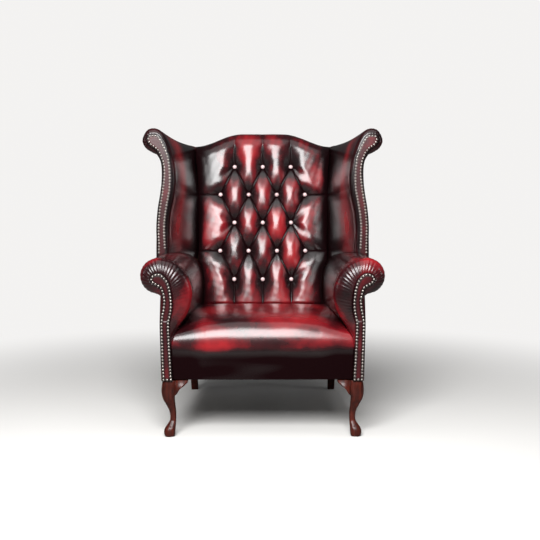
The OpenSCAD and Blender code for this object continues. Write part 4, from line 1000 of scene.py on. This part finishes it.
def make_nails():
    for side in ("left", "right"):
        domes(f"{side}_arm_nail_heads", f"{side}_arm_nails", (0, -1, 0), DOME, "nickel")
        domes(f"{side}_wing_nail_heads", f"{side}_wing_nails", forward(WING_LEAN), DOME, "nickel")
    back = -np.array(forward(BACK_LEAN))
    domes("outside_back_nail_heads", "outside_back_nails", back, DOME, "nickel")
    domes("covered_buttons", "back_buttons", forward(BACK_RAKE), BUTTON, "button_leather", 28)


# Seat

def seat_grid(columns=120, steps=16, bow_depth=6, lip=1.6, lip_z=300, lip_run=60):
    """The seat's leather from the rail up over the front roll and back to the inside back."""
    u = np.linspace(1, -1, columns + 1)
    grid = []
    for share, up_share, drop in curve(SEAT_PATH, steps):
        d = SEAT_FRONT_GAP + share * (SEAT_D - SEAT_FRONT_GAP)
        up = up_share * (1 - drop * np.abs(u) ** 3)
        side_z = LEG_H + up_share * (1 - drop) * (SEAT_TOP - LEG_H)
        edge = border_inside(side_z, d) - 2 * GAP + lip * smooth((lip_z - side_z) / lip_run)
        bow = bow_depth * np.abs(u) ** 3 * (1 - smooth(d / (2 * ARM_ROUND)))
        grid.append(placed(u * edge, d + bow, LEG_H + up * (SEAT_TOP - LEG_H)))
    return turn_in(np.array(grid))


def make_seat():
    grid = seat_grid()
    x, y, z = grid[..., 0], grid[..., 1] - FRONT_Y, grid[..., 2]
    rise = 0.8 * noise(x / 60, y / 60, z / 60, 61) * (np.abs(x) < SEAT_SMOOTH_W)
    bend = 5 * noise(x / 110, 0, 0, 63)
    for ahead in SEAT_CREASES:
        rise -= 0.9 * hump(y - SEAT_D + ahead - bend, 3.2) * np.exp(-(x / 170) ** 4)
    low = smooth((SEAT_FRONT_RED - y) / 60) * smooth((SEAT_TOP - 100 - z) / 55)
    wear_and_shade = worn_and_shaded(
        0.64,
        patches=(0.24, noise(x / 120, y / 90, z / 60, 62)),
        low_front=(-1.15, low),
        sides=(-0.3, smooth((np.abs(x) - SEAT_SMOOTH_W) / 60)))
    cover = skin("seat_leather", grid, "oxblood_leather", ("seat_cover", "seat_foam"), rise, wear_and_shade)


def make_outside_back(columns=60, rows=60, top_share=0.18, bulge=1.5):
    """Its top edge lies so far below the crest, as a share of the top roll."""
    u = np.linspace(-1, 1, columns + 1)
    grid = []
    for v in np.linspace(0, 1, rows):
        x = u * (BACK_W / 2 - GAP)
        z = LEG_H + v * (crest(x) - TOP_ROLL * top_share - LEG_H)
        proud = bulge * (1 - u ** 4) * math.sin(math.pi * v)
        grid.append(placed(x, back_depth(z) + LEATHER + proud, z))
    grid = np.array(grid)
    skin("outside_back_leather", grid, "dark_leather",
         ("outside_back_cover",), 0, plain_wear(grid, 0.36, 0.24, 71))


# Legs

def leg_rings(stations, sides, corner, power_low, power_high):
    """Rings round the leg's middle, rounder at the low power and squarer at the high one."""
    rings = []
    for share, near, far in stations:
        r, c = (far - near) / 2 * KNEE, (far + near) / 2 * KNEE
        power = mix(power_low, power_high, share)
        a = 2 * math.pi * (np.arange(sides) + 0.5) / sides
        x = np.sign(np.cos(a)) * np.abs(np.cos(a)) ** power
        y = np.sign(np.sin(a)) * np.abs(np.sin(a)) ** power
        rings.append(placed(corner[0] - (c + r * x), corner[1] + c + r * y,
                            np.full(sides, share * LEG_H)))
    return np.array(rings)


def add_ear(vertices, faces, place):
    """A bracket beside the knee, rounded on its lower edge."""
    outline = curve(LEG_EAR[2:], 6) * [EAR_W, EAR_H]
    outline = np.concatenate([LEG_EAR[:2] * [EAR_W, EAR_H], outline])
    layers = [(0, EAR_EDGE), (EAR_EDGE, 0), (KNEE / 2 - EAR_EDGE, 0), (KNEE / 2, EAR_EDGE)]
    faces += tube_faces(len(layers), len(outline), len(vertices))
    for depth, shrink in layers:
        for a, b in outline * (1 - shrink / EAR_H):
            vertices.append(place(a, b, depth))


def make_front_leg(side, mirror):
    corner = (arm_point([0.6, 0], 0)[0], NAIL_H + FACING_T / 2)
    sides = 48
    rings = leg_rings(curve(FRONT_LEG, CURVE_STEPS), sides, corner, power_low=0.8, power_high=0.5)
    vertices, faces = list(rings.reshape(-1, 3)), tube_faces(len(rings), sides)
    knee_x, knee_y, ear_set = corner[0] - KNEE, FRONT_Y + corner[1], KNEE * EAR_SET_SHARE
    add_ear(vertices, faces, lambda a, b, c: (knee_x + a, knee_y + ear_set - c, LEG_H + b))
    add_ear(vertices, faces,
            lambda a, b, c: (corner[0] - ear_set + c, knee_y + KNEE - a, LEG_H + b))
    piece(f"{side}_front_leg_wood", vertices, faces, "mahogany", (f"{side}_front_leg",),
          None, mirror)


def make_rear_leg(side, mirror):
    """A square leg with bevelled corners, raked back below the post."""
    rings = []
    x0, d0 = POST_X + BOARD / 2, BACK_FOOT_D - LEATHER - GAP - BOARD
    for share, rake, width in curve(REAR_LEG, 5):
        h = width * REAR_LEG_W / 2
        k = h - REAR_LEG_BEVEL
        y, z = FRONT_Y + d0 + rake * REAR_LEG_RAKE, share * LEG_H
        corners = [(-k, -h), (k, -h), (h, -k), (h, k), (k, h), (-k, h), (-h, k), (-h, -k)]
        rings.append([(x0 + cx, y + cy, z) for cx, cy in corners])
    vertices = [v for ring in rings for v in ring]
    obj = piece(f"{side}_rear_leg_wood", vertices, tube_faces(len(rings), len(rings[0])),
                "mahogany", (f"{side}_rear_leg",), None, mirror)
    for polygon in obj.data.polygons:
        polygon.use_smooth = False


# Studio

BACKDROP = (0.9, 0.89, 0.88)
# How far from the origin the floor starts and ends its fade into the backdrop, in metres
SHADOW_REACH, FLOOR_REACH, FLOOR_SIZE = 0.7, 2.4, 12


def floor_material():
    """A pale floor that keeps the shadow near the chair and runs into the backdrop far off."""
    look, place = new_look("pale_floor")
    far = look.add("VectorMath", {0: place}, "Value", operation="LENGTH")
    fade = look.share(far, SHADOW_REACH, FLOOR_REACH, "SMOOTHSTEP")
    seen = look.add("LightPath", output="Is Camera Ray")
    # the camera sees it paler than it is to the light that it throws back on the chair
    tone = look.ramp(seen, [(0, (0.26, 0.25, 0.24)), (1, (0.8, 0.79, 0.77))])
    material = look.surface({"Base Color": tone, "Roughness": 0.6})
    glow = look.add("Emission", {"Color": (*BACKDROP, 1)})
    blend = look.add("MixShader", {"Fac": look.math("MULTIPLY", fade, seen),
                                   1: look.nodes["Principled BSDF"].outputs["BSDF"], 2: glow})
    look.feed(look.nodes["Material Output"], {"Surface": blend})
    return material


def make_stage():
    mesh = bpy.data.meshes.new("floor")
    corners = [(x * FLOOR_SIZE, y * FLOOR_SIZE, 0) for x, y in ((-1, -1), (1, -1), (1, 1), (-1, 1))]
    mesh.from_pydata(corners, [], [(0, 1, 2, 3)])
    mesh.materials.append(floor_material())
    add_object("floor", mesh)


def make_world():
    """A soft grey room for the light, and a pale backdrop for the camera."""
    world = bpy.data.worlds.new("studio")
    bpy.context.scene.world = world
    look = Look(world)
    room = look.nodes["Background"]
    look.feed(room, {"Color": (0.8, 0.8, 0.82, 1), "Strength": 0.09})
    backdrop = look.add("Background", {"Color": (*BACKDROP, 1), "Strength": 1})
    seen = look.add("LightPath", output="Is Camera Ray")
    blend = look.add("MixShader", {"Fac": seen, 1: room.outputs["Background"], 2: backdrop})
    look.feed(look.nodes["World Output"], {"Surface": blend})


# Each lamp's place, its target, its width and height, all in metres, and its watts
LAMPS = {
    "window": ((-0.35, -2.8, 2.3), (0, 0, 0.7), (1.9, 1.5), 200),
    "right_strip": ((2.8, -1.0, 1.5), (0, -0.3, 0.5), (0.5, 1.1), 6),
    "left_strip": ((-2.8, -1.0, 1.5), (0, -0.3, 0.5), (0.5, 1.1), 5),
    "top": ((0, -1.0, 2.9), (0, -0.3, 0.6), (3.0, 2.0), 28)}


def make_lamps():
    for name, (place, target, size, power) in LAMPS.items():
        data = bpy.data.lights.new(name, "AREA")
        data.shape = "RECTANGLE"
        data.size, data.size_y = size
        data.energy = power
        lamp = add_object(name, data)
        lamp.location = place
        lamp.rotation_mode = "QUATERNION"
        lamp.rotation_quaternion = (Vector(target) - Vector(place)).to_track_quat("-Z", "Y")


# Camera, fitted to the photograph: eye height and distance from the arm fronts, in metres
EYE_X, EYE_H, EYE_D = 0.0018, 0.8147, 2.856
FOCAL_PX, FRAME_PX, TILT, PAN = 839.8, 540, 0.08, 0.0081


def make_camera():
    data = bpy.data.cameras.new("camera")
    data.sensor_width = 36
    data.lens = FOCAL_PX / FRAME_PX * data.sensor_width
    camera = add_object("camera", data)
    camera.location = (EYE_X, FRONT_Y * MM - EYE_D, EYE_H)
    camera.rotation_euler = (math.pi / 2 - TILT, 0, -PAN)
    bpy.context.scene.camera = camera


finish_cad_nodes()
for side, mirror in (("right", False), ("left", True)):
    for make in (make_inside_arm, make_outside_arm, make_arm_facing, make_inside_wing,
                 make_outside_wing, make_wing_facing, make_front_leg, make_rear_leg):
        make(side, mirror)
make_back()
make_seat()
make_outside_back()
make_nails()
make_stage()
make_world()
make_lamps()
make_camera()

bpy.context.scene.view_settings.view_transform = "Standard"
